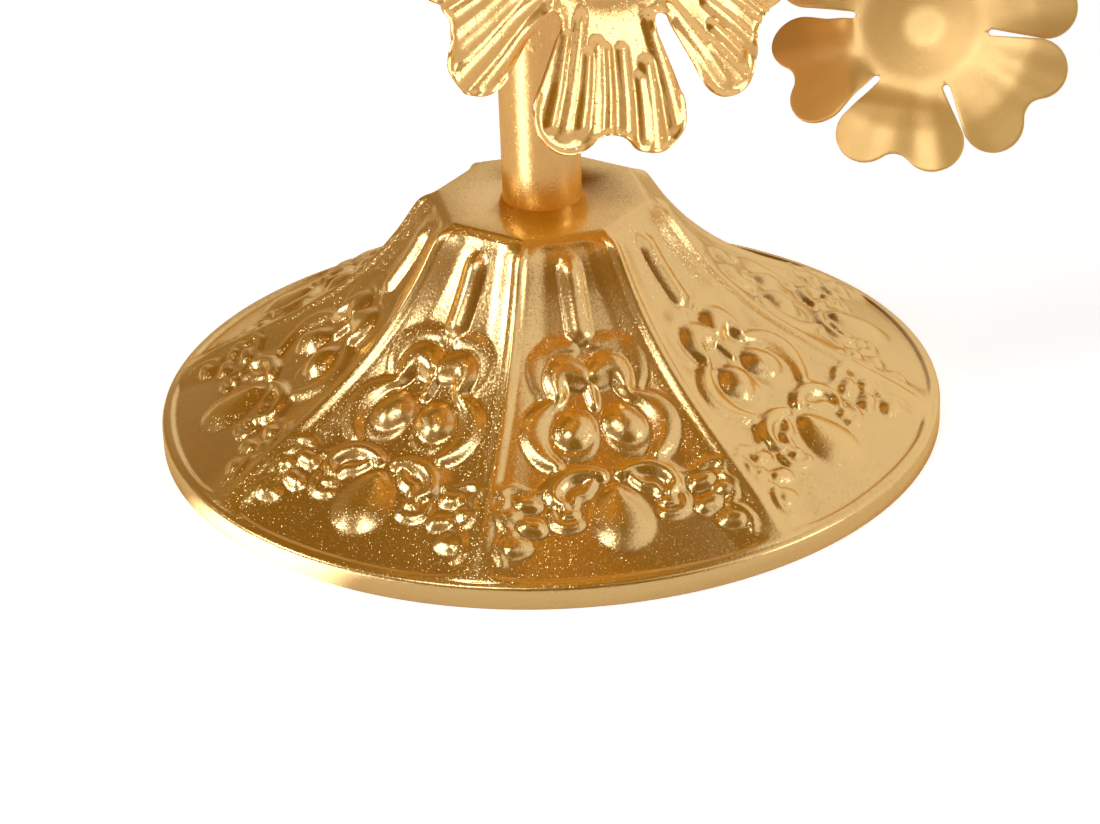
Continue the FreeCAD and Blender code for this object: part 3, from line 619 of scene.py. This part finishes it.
def bend_petal(places, radius, bend, twist):
    """Bend a petal up about its hinge and twist it about its own axis, both in degrees."""
    hinge = HINGE_SHARE * radius
    bend, twist = math.radians(bend), math.radians(twist)
    along, side, up = places[:, 0].copy(), places[:, 1].copy(), places[:, 2].copy()
    past = np.maximum(along - hinge, 0.0)
    fade = ease((along - hinge) / (HINGE_FADE_SHARE * radius))
    places[:, 0] = np.minimum(along, hinge) + past * math.cos(bend) - up * math.sin(bend) * fade
    places[:, 1] = side * (1 - (1 - math.cos(twist)) * fade)
    places[:, 2] = up + past * math.sin(bend) * fade + side * math.sin(twist) * fade


def petal_sheet(kind, sizes, seed, bends=(0.0,) * PETALS, twists=(0.0,) * PETALS):
    """A whole ring of petals as a thin sheet, in millimetres, its front up."""
    radius = RADII[kind]
    across, inner_rows, outer_rows = GRIDS[kind]
    pan = kind == "pan"
    veined = kind != "small"
    profile = PAN_SHARES if pan else DISH_SHARES
    net = half_petal(PETAL_SHARES[kind], across, inner_rows, outer_rows,
                     PAN_HOLE_SHARE if pan else 0.0)
    mesh = unit_grid(across, inner_rows + outer_rows)
    flat = as_array(mesh)
    column, row = np.rint(flat[:, :2] * (across, inner_rows + outer_rows)).astype(int).T
    places = np.zeros((len(flat), 3))
    places[:, :2] = net[row, column] * radius
    put_back(mesh, places)
    repeat_round(mesh, PETALS)
    places = as_array(mesh)
    distance = np.hypot(places[:, 0], places[:, 1])
    turn = np.arctan2(places[:, 1], places[:, 0])
    number = np.rint(turn / (math.tau / PETALS)).astype(int) % PETALS
    away = turn - number * math.tau / PETALS
    along = distance * np.cos(away)
    side = distance * np.sin(away)
    knots = [share * radius for share, _ in profile]
    ups = [share * radius for _, share in profile]
    fine = np.linspace(0.0, knots[-1], 200)
    line = np.interp(fine, knots, ups)
    blur = np.hanning(25) / np.hanning(25).sum()
    soft = np.convolve(np.pad(line, 12, mode="edge"), blur, "valid")
    up = np.interp(distance, fine, soft)
    if pan:
        up = up + sizes.sheet / MM
    made = np.stack([along, side, up], -1)
    mask = np.zeros(len(made))
    tip, flank = petal_edges(PETAL_SHARES[kind], PETAL_CORNER)
    edge = np.concatenate([tip, flank[::-1]]) * radius
    gaps = np.hypot(along[:, None] - edge[:, 0], np.abs(side)[:, None] - edge[:, 1])
    lip = 1 - ease(gaps.min(1) / LIP_WIDTH)
    for petal in range(PETALS):
        mine = number == petal
        if veined:
            raised = veins(side[mine], along[mine], radius, seed + petal)
            made[mine, 2] += (raised + 0.5 * lip[mine]) * sizes.vein / MM
            mask[mine] = np.maximum(raised, lip[mine])
        waves = ripples(side[mine], along[mine], radius, seed + 50 + petal)
        made[mine, 2] += waves * (VEINED_WAVES if veined else 1.0)
        part = made[mine]
        bend_petal(part, radius, bends[petal], twists[petal])
        made[mine] = part
    base = number * math.tau / PETALS
    places = np.stack([made[:, 0] * np.cos(base) - made[:, 1] * np.sin(base),
                       made[:, 0] * np.sin(base) + made[:, 1] * np.cos(base), made[:, 2]], -1)
    put_back(mesh, places)
    # Painted shade: on large petals all but the veins and the lip are painted darker
    mark_painted_shade(mesh, 1.0 - mask if veined else mask)
    for face in mesh.faces:
        if face.normal.z < 0:
            face.normal_flip()
    return mesh


def thicken(piece, thickness):
    """Give a sheet its thickness behind its front."""
    wall = piece.modifiers.new("thickness", "SOLIDIFY")
    wall.thickness = thickness
    wall.offset = -1.0


def sheet_finish(piece, thickness):
    """Give a sheet its thickness and a rounded cut edge."""
    thicken(piece, thickness)
    rounding = piece.modifiers.new("edge", "BEVEL")
    rounding.width = thickness * 0.28
    rounding.segments = 2
    rounding.limit_method = "ANGLE"
    rounding.angle_limit = math.radians(50)


def flower_frame(spot):
    """Turn and place of a flower: local X down its first petal, local Z out of its face."""
    face, tilt, roll = (math.radians(spot[key]) for key in ("face", "tilt", "roll"))
    outward = Vector((math.sin(face) * math.cos(tilt), -math.cos(face) * math.cos(tilt),
                      math.sin(tilt)))
    level = Vector((math.cos(face), math.sin(face), 0.0))
    upward = outward.cross(level)
    down = level * math.sin(roll) - upward * math.cos(roll)
    beside = outward.cross(down)
    around = math.radians(spot["around"] - 90)
    middle = Vector((spot["out"] * math.cos(around), spot["out"] * math.sin(around), spot["high"]))
    turn = Matrix((down, beside, outward)).transposed().to_4x4()
    return Matrix.Translation(middle) @ turn


def build_flower(name, sizes, finishes):
    """One flower of bent sheet, in its place on the stem."""
    spot = dict(zip(FLOWER_KEYS, FLOWERS[name]))
    mesh = petal_sheet(spot["kind"], sizes, sum(map(ord, name)), spot["bends"], spot["twists"])
    bmesh.ops.transform(mesh, matrix=flower_frame(spot), verts=mesh.verts)
    slot = "veined_gold" if spot["kind"] == "large" else "smooth_gold"
    piece = finish_piece(mesh, name + "_petals", finishes[slot], "holder", name + "_flower",
                         False)
    sheet_finish(piece, sizes.sheet)


def build_pan(sizes, material):
    """The loose drip pan, a ring of rising petals round the cup."""
    low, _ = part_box("drip_pan")
    mesh = petal_sheet("pan", sizes, 700)
    bmesh.ops.translate(mesh, vec=(0, 0, low.z / MM), verts=mesh.verts)
    piece = finish_piece(mesh, "petal_drip_pan", material, "pan", "drip_pan", False)
    sheet_finish(piece, sizes.sheet)


# Brazing of the stalks
def build_brazing(name, sizes, material):
    """The rough patch of braze that ran down the tube from a stalk's root."""
    around, high, low = BRAZING[name]
    mesh = unit_grid(*BRAZE_GRID)
    flat = as_array(mesh)
    side = 2 * flat[:, 0] - 1
    along = 2 * flat[:, 1] - 1
    middle, reach = (high + low) / 2, (high - low) / 2
    places = np.zeros((len(flat), 3))
    for number, (beside, up) in enumerate(zip(side, along)):
        gone = np.hypot(beside, up)
        turn = math.radians(around - 90) + BRAZE_WIDTH * beside / TUBE_RADIUS
        height = middle + reach * up
        # The patch ends raggedly, and its top is grainy
        spot = Vector((BRAZE_WIDTH * beside, height, 7.0 * len(name)))
        ragged = gone + 0.35 * noise.noise(spot * 0.35)
        grains = noise.noise(spot * 1.7) + 0.6 * noise.noise(spot * 3.4)
        swell = (0.16 + 0.26 * grains) * (1 - ease((ragged - 0.35) / 0.5)) - 0.05
        if gone > BRAZE_EDGE:
            swell = BRAZE_SUNK
        across = TUBE_RADIUS + float(swell) * sizes.braze / MM
        places[number] = (across * math.cos(turn), across * math.sin(turn), height)
    put_back(mesh, places)
    for face in mesh.faces:
        spot = face.calc_center_median()
        if face.normal.dot(Vector((spot.x, spot.y, 0.0))) < 0:
            face.normal_flip()
    piece = finish_piece(mesh, name + "_braze", material, "holder", None, False)
    thicken(piece, BRAZE_WALL * MM)


# Finishes, by record slot
FINISHES = {}
# What the clouds and the grain mostly span
MOTTLE_SPAN = (0.3, 0.7)
# Share of a gold's tone that follows its single flakes; the clouds make the rest
FLAKE_TONE = 0.3
# Shares of red, green and blue that are left in worn spots, and in hollows as painted shade
WORN_SHARES = (0.82, 0.76, 0.7)
HOLLOW_SHADE_SHARES = (0.6, 0.45, 0.3)


def new_material(name):
    """An empty node material with its Principled shader."""
    material = bpy.data.materials.new(name)
    material.use_nodes = True
    return material, material.node_tree, material.node_tree.nodes["Principled BSDF"]


def set_inputs(tree, node, inputs):
    """Set a node's inputs, or join them where another node's socket is given."""
    for key, setting in inputs.items():
        if isinstance(setting, bpy.types.NodeSocket):
            tree.links.new(setting, node.inputs[key])
        else:
            node.inputs[key].default_value = setting


def add_node(tree, kind, inputs=None, **settings):
    """A node with its settings and inputs."""
    node = tree.nodes.new(kind)
    for key, setting in settings.items():
        setattr(node, key, setting)
    set_inputs(tree, node, inputs or {})
    return node


def add_math(tree, operation, *inputs):
    """The result of a node that works on numbers."""
    return add_node(tree, "ShaderNodeMath", dict(enumerate(inputs)), operation=operation).outputs[0]


def add_vector(tree, operation, inputs, result="Vector"):
    """The result of a node that works on vectors."""
    return add_node(tree, "ShaderNodeVectorMath", inputs, operation=operation).outputs[result]


def add_range(tree, value, span, results, interpolation="LINEAR"):
    """A number brought from one span to another."""
    inputs = dict(enumerate((value, *span, *results)))
    return add_node(tree, "ShaderNodeMapRange", inputs, interpolation_type=interpolation).outputs[0]


def add_mix(tree, factor, first, second):
    """A colour between two others."""
    inputs = {"Factor": factor, "A": first, "B": second}
    return add_node(tree, "ShaderNodeMix", inputs, data_type="RGBA").outputs["Result"]


def shaded(colour, shares):
    """A colour with each of its three parts times a share, as a socket takes it."""
    return (*[part * share for part, share in zip(colour, shares)], 1.0)


def new_group(name, inputs, outputs):
    """A shader node group; its inputs are numbers."""
    tree = bpy.data.node_groups.new(name, "ShaderNodeTree")
    for label, default in inputs.items():
        socket = tree.interface.new_socket(label, in_out="INPUT", socket_type="NodeSocketFloat")
        socket.default_value = default
    for label, kind in outputs.items():
        tree.interface.new_socket(label, in_out="OUTPUT", socket_type="NodeSocket" + kind)
    return tree, tree.nodes.new("NodeGroupInput"), tree.nodes.new("NodeGroupOutput")


def flake_group():
    """Fine flakes: normals, most nearly level and a few stray ones, and a number per flake."""
    tree, given, result = new_group(
        "metal flake", {"Size": 0.25 * MM, "Tilt": 0.05, "Stray Tilt": 0.5, "Strays": 0.06},
        {"Normal": "Vector", "Number": "Float"})
    place = add_node(tree, "ShaderNodeTexCoord").outputs["Object"]
    scale = add_math(tree, "DIVIDE", 1.0, given.outputs["Size"])
    cells = add_node(tree, "ShaderNodeTexVoronoi", {"Vector": place, "Scale": scale})
    numbers = add_node(tree, "ShaderNodeSeparateColor", {0: cells.outputs["Color"]})
    centred = add_vector(tree, "SUBTRACT", {0: cells.outputs["Color"], 1: (0.5, 0.5, 0.5)})
    stray = add_math(tree, "LESS_THAN", numbers.outputs[1], given.outputs["Strays"])
    lean = add_math(tree, "MULTIPLY_ADD", stray, given.outputs["Stray Tilt"],
                    given.outputs["Tilt"])
    tilted = add_vector(tree, "SCALE", {0: centred, "Scale": lean})
    surface = add_node(tree, "ShaderNodeNewGeometry").outputs["Normal"]
    total = add_vector(tree, "ADD", {0: surface, 1: tilted})
    normal = add_vector(tree, "NORMALIZE", {0: total})
    set_inputs(tree, result, {"Normal": normal, "Number": numbers.outputs[0]})
    return tree


def mottle_group():
    """Slow cloudy variation of a finish, and fine dents that feed a bump."""
    tree, given, result = new_group(
        "mottled finish", {"Cloud Size": 12 * MM, "Grain Size": 0.6 * MM},
        {"Cloud": "Float", "Grain": "Float"})
    place = add_node(tree, "ShaderNodeTexCoord").outputs["Object"]
    for name, inputs in (("Cloud", {"Detail": 4.0, "Roughness": 0.6}), ("Grain", {"Detail": 3.0})):
        scale = add_math(tree, "DIVIDE", 1.0, given.outputs[name + " Size"])
        texture = add_node(tree, "ShaderNodeTexNoise", {"Vector": place, "Scale": scale, **inputs})
        set_inputs(tree, result, {name: texture.outputs["Fac"]})
    return tree


def add_mottle(tree, groups, cloud, grain):
    """The cloud and the grain of a finish, for their sizes in millimetres."""
    return add_node(tree, "ShaderNodeGroup", {"Cloud Size": cloud * MM, "Grain Size": grain * MM},
                    node_tree=groups["mottle"]).outputs


def gold_finish(name, amber, shine, groups, hollow_shade_amount=0.0, flake=0.25, tilt=0.05, stray=0.6,
                strays=0.05, rough=(0.17, 0.26), dents=0.04, cloud=12.0, grain=0.6, mirror=6.0):
    """Amber lacquer full of metal flake, under a pale shine; hollows are painted darker, as shade.
    """
    material, tree, shader = new_material(name)
    flakes = add_node(tree, "ShaderNodeGroup", {
        "Size": flake * MM, "Tilt": tilt, "Stray Tilt": stray, "Strays": strays,
    }, node_tree=groups["flake"]).outputs
    mottle = add_mottle(tree, groups, cloud, grain)
    worn = add_range(tree, mottle["Cloud"], MOTTLE_SPAN, (0.0, 1 - FLAKE_TONE))
    speck = add_math(tree, "MULTIPLY_ADD", flakes["Number"], FLAKE_TONE, worn)
    tone = add_mix(tree, speck, (*amber, 1.0), shaded(amber, WORN_SHARES))
    # Painted shade: the tone darkens where the vertex shade attribute is high
    if hollow_shade_amount:
        painted_hollow_shade = add_node(tree, "ShaderNodeAttribute", attribute_name="painted_hollow_shade").outputs["Fac"]
        shade_depth = add_math(tree, "MULTIPLY", painted_hollow_shade, hollow_shade_amount)
        tone = add_mix(tree, shade_depth, tone, shaded(amber, HOLLOW_SHADE_SHARES))
    polish = add_range(tree, mottle["Cloud"], MOTTLE_SPAN, rough)
    bump = add_node(tree, "ShaderNodeBump", {
        "Strength": 1.0, "Distance": dents * MM, "Height": mottle["Grain"],
        "Normal": flakes["Normal"]}).outputs["Normal"]
    set_inputs(tree, shader, {"Base Color": tone, "Roughness": polish, "Normal": bump,
                              "IOR": mirror, "Specular Tint": (*shine, 1.0)})
    return material


def plain_finish(name, colour, groups, sizes, tones, rough, dents, extra):
    """A finish without flake; its tone and its roughness each follow the cloud or the grain."""
    material, tree, shader = new_material(name)
    mottle = add_mottle(tree, groups, *sizes)
    pattern, start, end = tones
    tone = add_mix(tree, mottle[pattern], shaded(colour, (start,) * 3), shaded(colour, (end,) * 3))
    pattern, *results = rough
    polish = add_range(tree, mottle[pattern], MOTTLE_SPAN, results)
    bump = add_node(tree, "ShaderNodeBump", {"Distance": dents * MM, "Height": mottle["Grain"]})
    set_inputs(tree, shader, {"Base Color": tone, "Roughness": polish,
                              "Normal": bump.outputs["Normal"], **extra})
    return material


def all_finishes():
    """The finishes by record slot, made once."""
    if FINISHES:
        return FINISHES
    colours = bpy.context.scene.holder_colours
    groups = {"flake": flake_group(), "mottle": mottle_group()}
    shine = colours.upper_shine
    # The foot and the large petals get painted shade in their hollows
    FINISHES["foot_gold"] = gold_finish(
        "foot gold paint", colours.foot, colours.foot_shine, groups, hollow_shade_amount=0.25, flake=0.16,
        tilt=0.06, stray=0.4, strays=0.1, rough=(0.17, 0.25))
    FINISHES["stem_gold"] = gold_finish(
        "stem satin gold", colours.stem, shine, groups, flake=0.2, stray=0.3, rough=(0.18, 0.28),
        cloud=8.0, mirror=4.8)
    FINISHES["veined_gold"] = gold_finish(
        "veined petal gold", colours.veined, shine, groups, hollow_shade_amount=0.35, tilt=0.04,
        stray=0.4, strays=0.08, rough=(0.15, 0.23), dents=0.012)
    FINISHES["smooth_gold"] = gold_finish(
        "smooth petal gold", colours.smooth, shine, groups, flake=0.18, tilt=0.02, stray=0.1,
        rough=(0.34, 0.42), dents=0.01, cloud=18.0, mirror=4.2)
    FINISHES["plain_steel"] = plain_finish(
        "plated steel", colours.steel, groups, (4.0, 0.4), ("Cloud", 1.0, 0.7),
        ("Grain", 0.3, 0.5), 0.02, {"Metallic": 1.0})
    FINISHES["felt"] = plain_finish(
        "felt", colours.felt, groups, (3.0, 0.35), ("Grain", 0.6, 1.6),
        ("Cloud", 0.85, 1.0), 0.25, {"Sheen Weight": 0.4})
    return FINISHES


def dress_node(node, material):
    """Give a CAD node its finish."""
    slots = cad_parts[node].data.materials
    if len(slots) == 0:
        slots.append(material)
    for number in range(len(slots)):
        slots[number] = material


# Studio
def build_table(studio):
    """The white table, which glows by itself to the camera, and in what the metal mirrors with a
    painted pool of light.
    """
    mesh = bmesh.new()
    bmesh.ops.create_circle(mesh, cap_ends=True, segments=96, radius=TABLE_RADIUS)
    material, tree, shader = new_material("table")
    mesh_object("table", mesh, material)
    set_inputs(tree, shader, {"Base Color": (*studio.floor, 1.0), "Roughness": 0.9,
                              "Specular IOR Level": 0.0})
    ray = add_node(tree, "ShaderNodeLightPath").outputs
    # Painted pool of light: toward one side the table glows far brighter, in reflections only
    place = add_node(tree, "ShaderNodeTexCoord").outputs["Object"]
    way = add_vector(tree, "NORMALIZE", {0: place})
    facing = add_vector(tree, "DOT_PRODUCT", {0: way, 1: PAINTED_POOL_TOWARD}, "Value")
    painted_pool = add_range(tree, facing, PAINTED_POOL_EDGE, PAINTED_POOL_GLOW, "SMOOTHSTEP")
    mirrored = add_math(tree, "MULTIPLY", ray["Is Glossy Ray"], painted_pool)
    seen = add_math(tree, "MAXIMUM", ray["Is Camera Ray"], mirrored)
    seen = add_math(tree, "MAXIMUM", seen, ray["Is Transmission Ray"])
    strength = add_math(tree, "MULTIPLY", seen, TABLE_GLOW)
    glow = add_node(tree, "ShaderNodeEmission", {"Color": (1, 1, 1, 1), "Strength": strength})
    total = add_node(tree, "ShaderNodeAddShader", {0: shader.outputs[0], 1: glow.outputs[0]})
    set_inputs(tree, tree.nodes["Material Output"], {"Surface": total.outputs[0]})


def build_room(studio):
    """White walls, darker to the left, with a dark ceiling and two dark screens."""
    world = bpy.data.worlds.new("studio")
    bpy.context.scene.world = world
    world.use_nodes = True
    tree = world.node_tree
    way = add_node(tree, "ShaderNodeTexCoord").outputs["Generated"]
    parts = add_node(tree, "ShaderNodeSeparateXYZ", {0: way}).outputs
    offsets = [add_math(tree, "MULTIPLY_ADD", parts[axis], 1 / reach, -middle / reach)
               for axis, (middle, reach) in enumerate(zip(CEILING_MIDDLE, CEILING_REACH))]
    both = add_node(tree, "ShaderNodeCombineXYZ", dict(enumerate(offsets))).outputs[0]
    away = add_vector(tree, "LENGTH", {0: both}, "Value")
    ceiling = add_range(tree, away, CEILING_EDGE, (1.0, 0.0), "SMOOTHSTEP")
    above = add_math(tree, "GREATER_THAN", parts[2], 0.0)
    dark = add_math(tree, "MULTIPLY", ceiling, above)
    for toward, start, full in DARK_SCREENS:
        facing = add_vector(tree, "DOT_PRODUCT", {0: way, 1: toward}, "Value")
        screen = add_range(tree, facing, (start, full), (0.0, 1.0), "SMOOTHSTEP")
        dark = add_math(tree, "MAXIMUM", dark, screen)
    walls = add_range(tree, parts[0], WALL_SPAN, WALL_TONES)
    tone = add_mix(tree, dark, walls, (*(studio.ceiling,) * 3, 1.0))
    set_inputs(tree, tree.nodes["Background"], {"Color": tone, "Strength": 1.0})


def build_soft_boxes(studio):
    """The soft boxes, all turned to the foot."""
    for name, spot, wide, tall, bright in SOFT_BOXES:
        lamp = bpy.data.lights.new(name, "AREA")
        lamp.shape = "RECTANGLE"
        lamp.size = wide
        lamp.size_y = tall
        lamp.energy = studio.lamps * bright * math.pi * wide * tall
        box = new_object(name, lamp)
        box.location = spot
        box.rotation_mode = "QUATERNION"
        away = Vector(spot) - Vector((0, 0, AIM_HEIGHT))
        box.rotation_quaternion = away.to_track_quat("Z", "Y")


def build_camera():
    """The camera that sees the holder as the photo shows it."""
    lens = bpy.data.cameras.new("camera")
    lens.sensor_width = 36.0
    lens.lens = CAMERA_LENS
    lens.clip_start = 0.01
    lens.clip_end = 50.0
    camera = new_object("camera", lens)
    turn = Matrix((CAMERA_RIGHT, CAMERA_UP, CAMERA_BACK)).transposed()
    camera.matrix_world = Matrix.Translation(Vector(CAMERA_PLACE) * MM) @ turn.to_4x4()
    bpy.context.scene.camera = camera
    bpy.context.scene.view_settings.view_transform = "Standard"


def build_stage(studio):
    """Table, room, soft boxes left, in front and right, and the camera."""
    build_table(studio)
    build_room(studio)
    build_soft_boxes(studio)
    build_camera()


# Operators, one for each group of pieces
class HOLDER_OT_foot(bpy.types.Operator):
    """Build the stamped foot and finish the pieces under it"""

    bl_idname = "holder.foot"
    bl_label = "Foot"

    def execute(self, context):
        finishes = all_finishes()
        build_foot(context.scene.holder_sizes, finishes["foot_gold"])
        for node in ("base_disc", "foot_washer", "foot_nut", "tie_rod", "lower_bush", "upper_bush"):
            dress_node(node, finishes["plain_steel"])
        dress_node("felt_pad", finishes["felt"])
        return {"FINISHED"}


class HOLDER_OT_stem(bpy.types.Operator):
    """Finish the stem, the knop, the candle cup, the stalks and their bosses"""

    bl_idname = "holder.stem"
    bl_label = "Stem"

    def execute(self, context):
        finishes = all_finishes()
        for node in ("stem_tube", "top_knop", "candle_cup"):
            dress_node(node, finishes["stem_gold"])
        for name in FLOWERS:
            dress_node(name + "_boss", finishes["stem_gold"])
            dress_node(name + "_stalk", finishes["stem_gold"])
            build_brazing(name, context.scene.holder_sizes, finishes["stem_gold"])
        return {"FINISHED"}


class HOLDER_OT_flowers(bpy.types.Operator):
    """Build the five flowers of bent sheet"""

    bl_idname = "holder.flowers"
    bl_label = "Flowers"

    def execute(self, context):
        for name in FLOWERS:
            build_flower(name, context.scene.holder_sizes, all_finishes())
        return {"FINISHED"}


class HOLDER_OT_pan(bpy.types.Operator):
    """Build the loose drip pan"""

    bl_idname = "holder.pan"
    bl_label = "Drip pan"

    def execute(self, context):
        build_pan(context.scene.holder_sizes, all_finishes()["veined_gold"])
        return {"FINISHED"}


class HOLDER_OT_stage(bpy.types.Operator):
    """Set the table, the soft light and the camera"""

    bl_idname = "holder.stage"
    bl_label = "Studio"

    def execute(self, context):
        build_stage(context.scene.holder_studio)
        return {"FINISHED"}


class HOLDER_PT_panel(bpy.types.Panel):
    """Buttons and settings of the candle holder"""

    bl_label = "Candle holder"
    bl_idname = "HOLDER_PT_panel"
    bl_space_type = "VIEW_3D"
    bl_region_type = "UI"
    bl_category = "Candle holder"

    def draw(self, context):
        layout = self.layout
        for kind in OPERATORS:
            layout.operator(kind.bl_idname)
        for group in (context.scene.holder_sizes, context.scene.holder_colours,
                      context.scene.holder_studio):
            for key in group.bl_rna.properties.keys():
                if key not in ("rna_type", "name"):
                    layout.prop(group, key)


GROUPS = {"holder_sizes": HolderSizes, "holder_colours": HolderColours,
          "holder_studio": HolderStudio}
OPERATORS = (HOLDER_OT_stage, HOLDER_OT_foot, HOLDER_OT_stem, HOLDER_OT_flowers, HOLDER_OT_pan)


def register():
    """Register the classes and hang the settings on the scene."""
    for kind in (*GROUPS.values(), *OPERATORS, HOLDER_PT_panel):
        bpy.utils.register_class(kind)
    for key, kind in GROUPS.items():
        setattr(bpy.types.Scene, key, bpy.props.PointerProperty(type=kind))


def unregister():
    """Take the settings and the classes away again."""
    for key in GROUPS:
        delattr(bpy.types.Scene, key)
    for kind in (HOLDER_PT_panel, *reversed(OPERATORS), *reversed(tuple(GROUPS.values()))):
        bpy.utils.unregister_class(kind)


def main():
    """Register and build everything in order."""
    register()
    bpy.ops.holder.stage()
    bpy.ops.holder.foot()
    bpy.ops.holder.stem()
    bpy.ops.holder.flowers()
    bpy.ops.holder.pan()


if __name__ == "__main__":
    main()
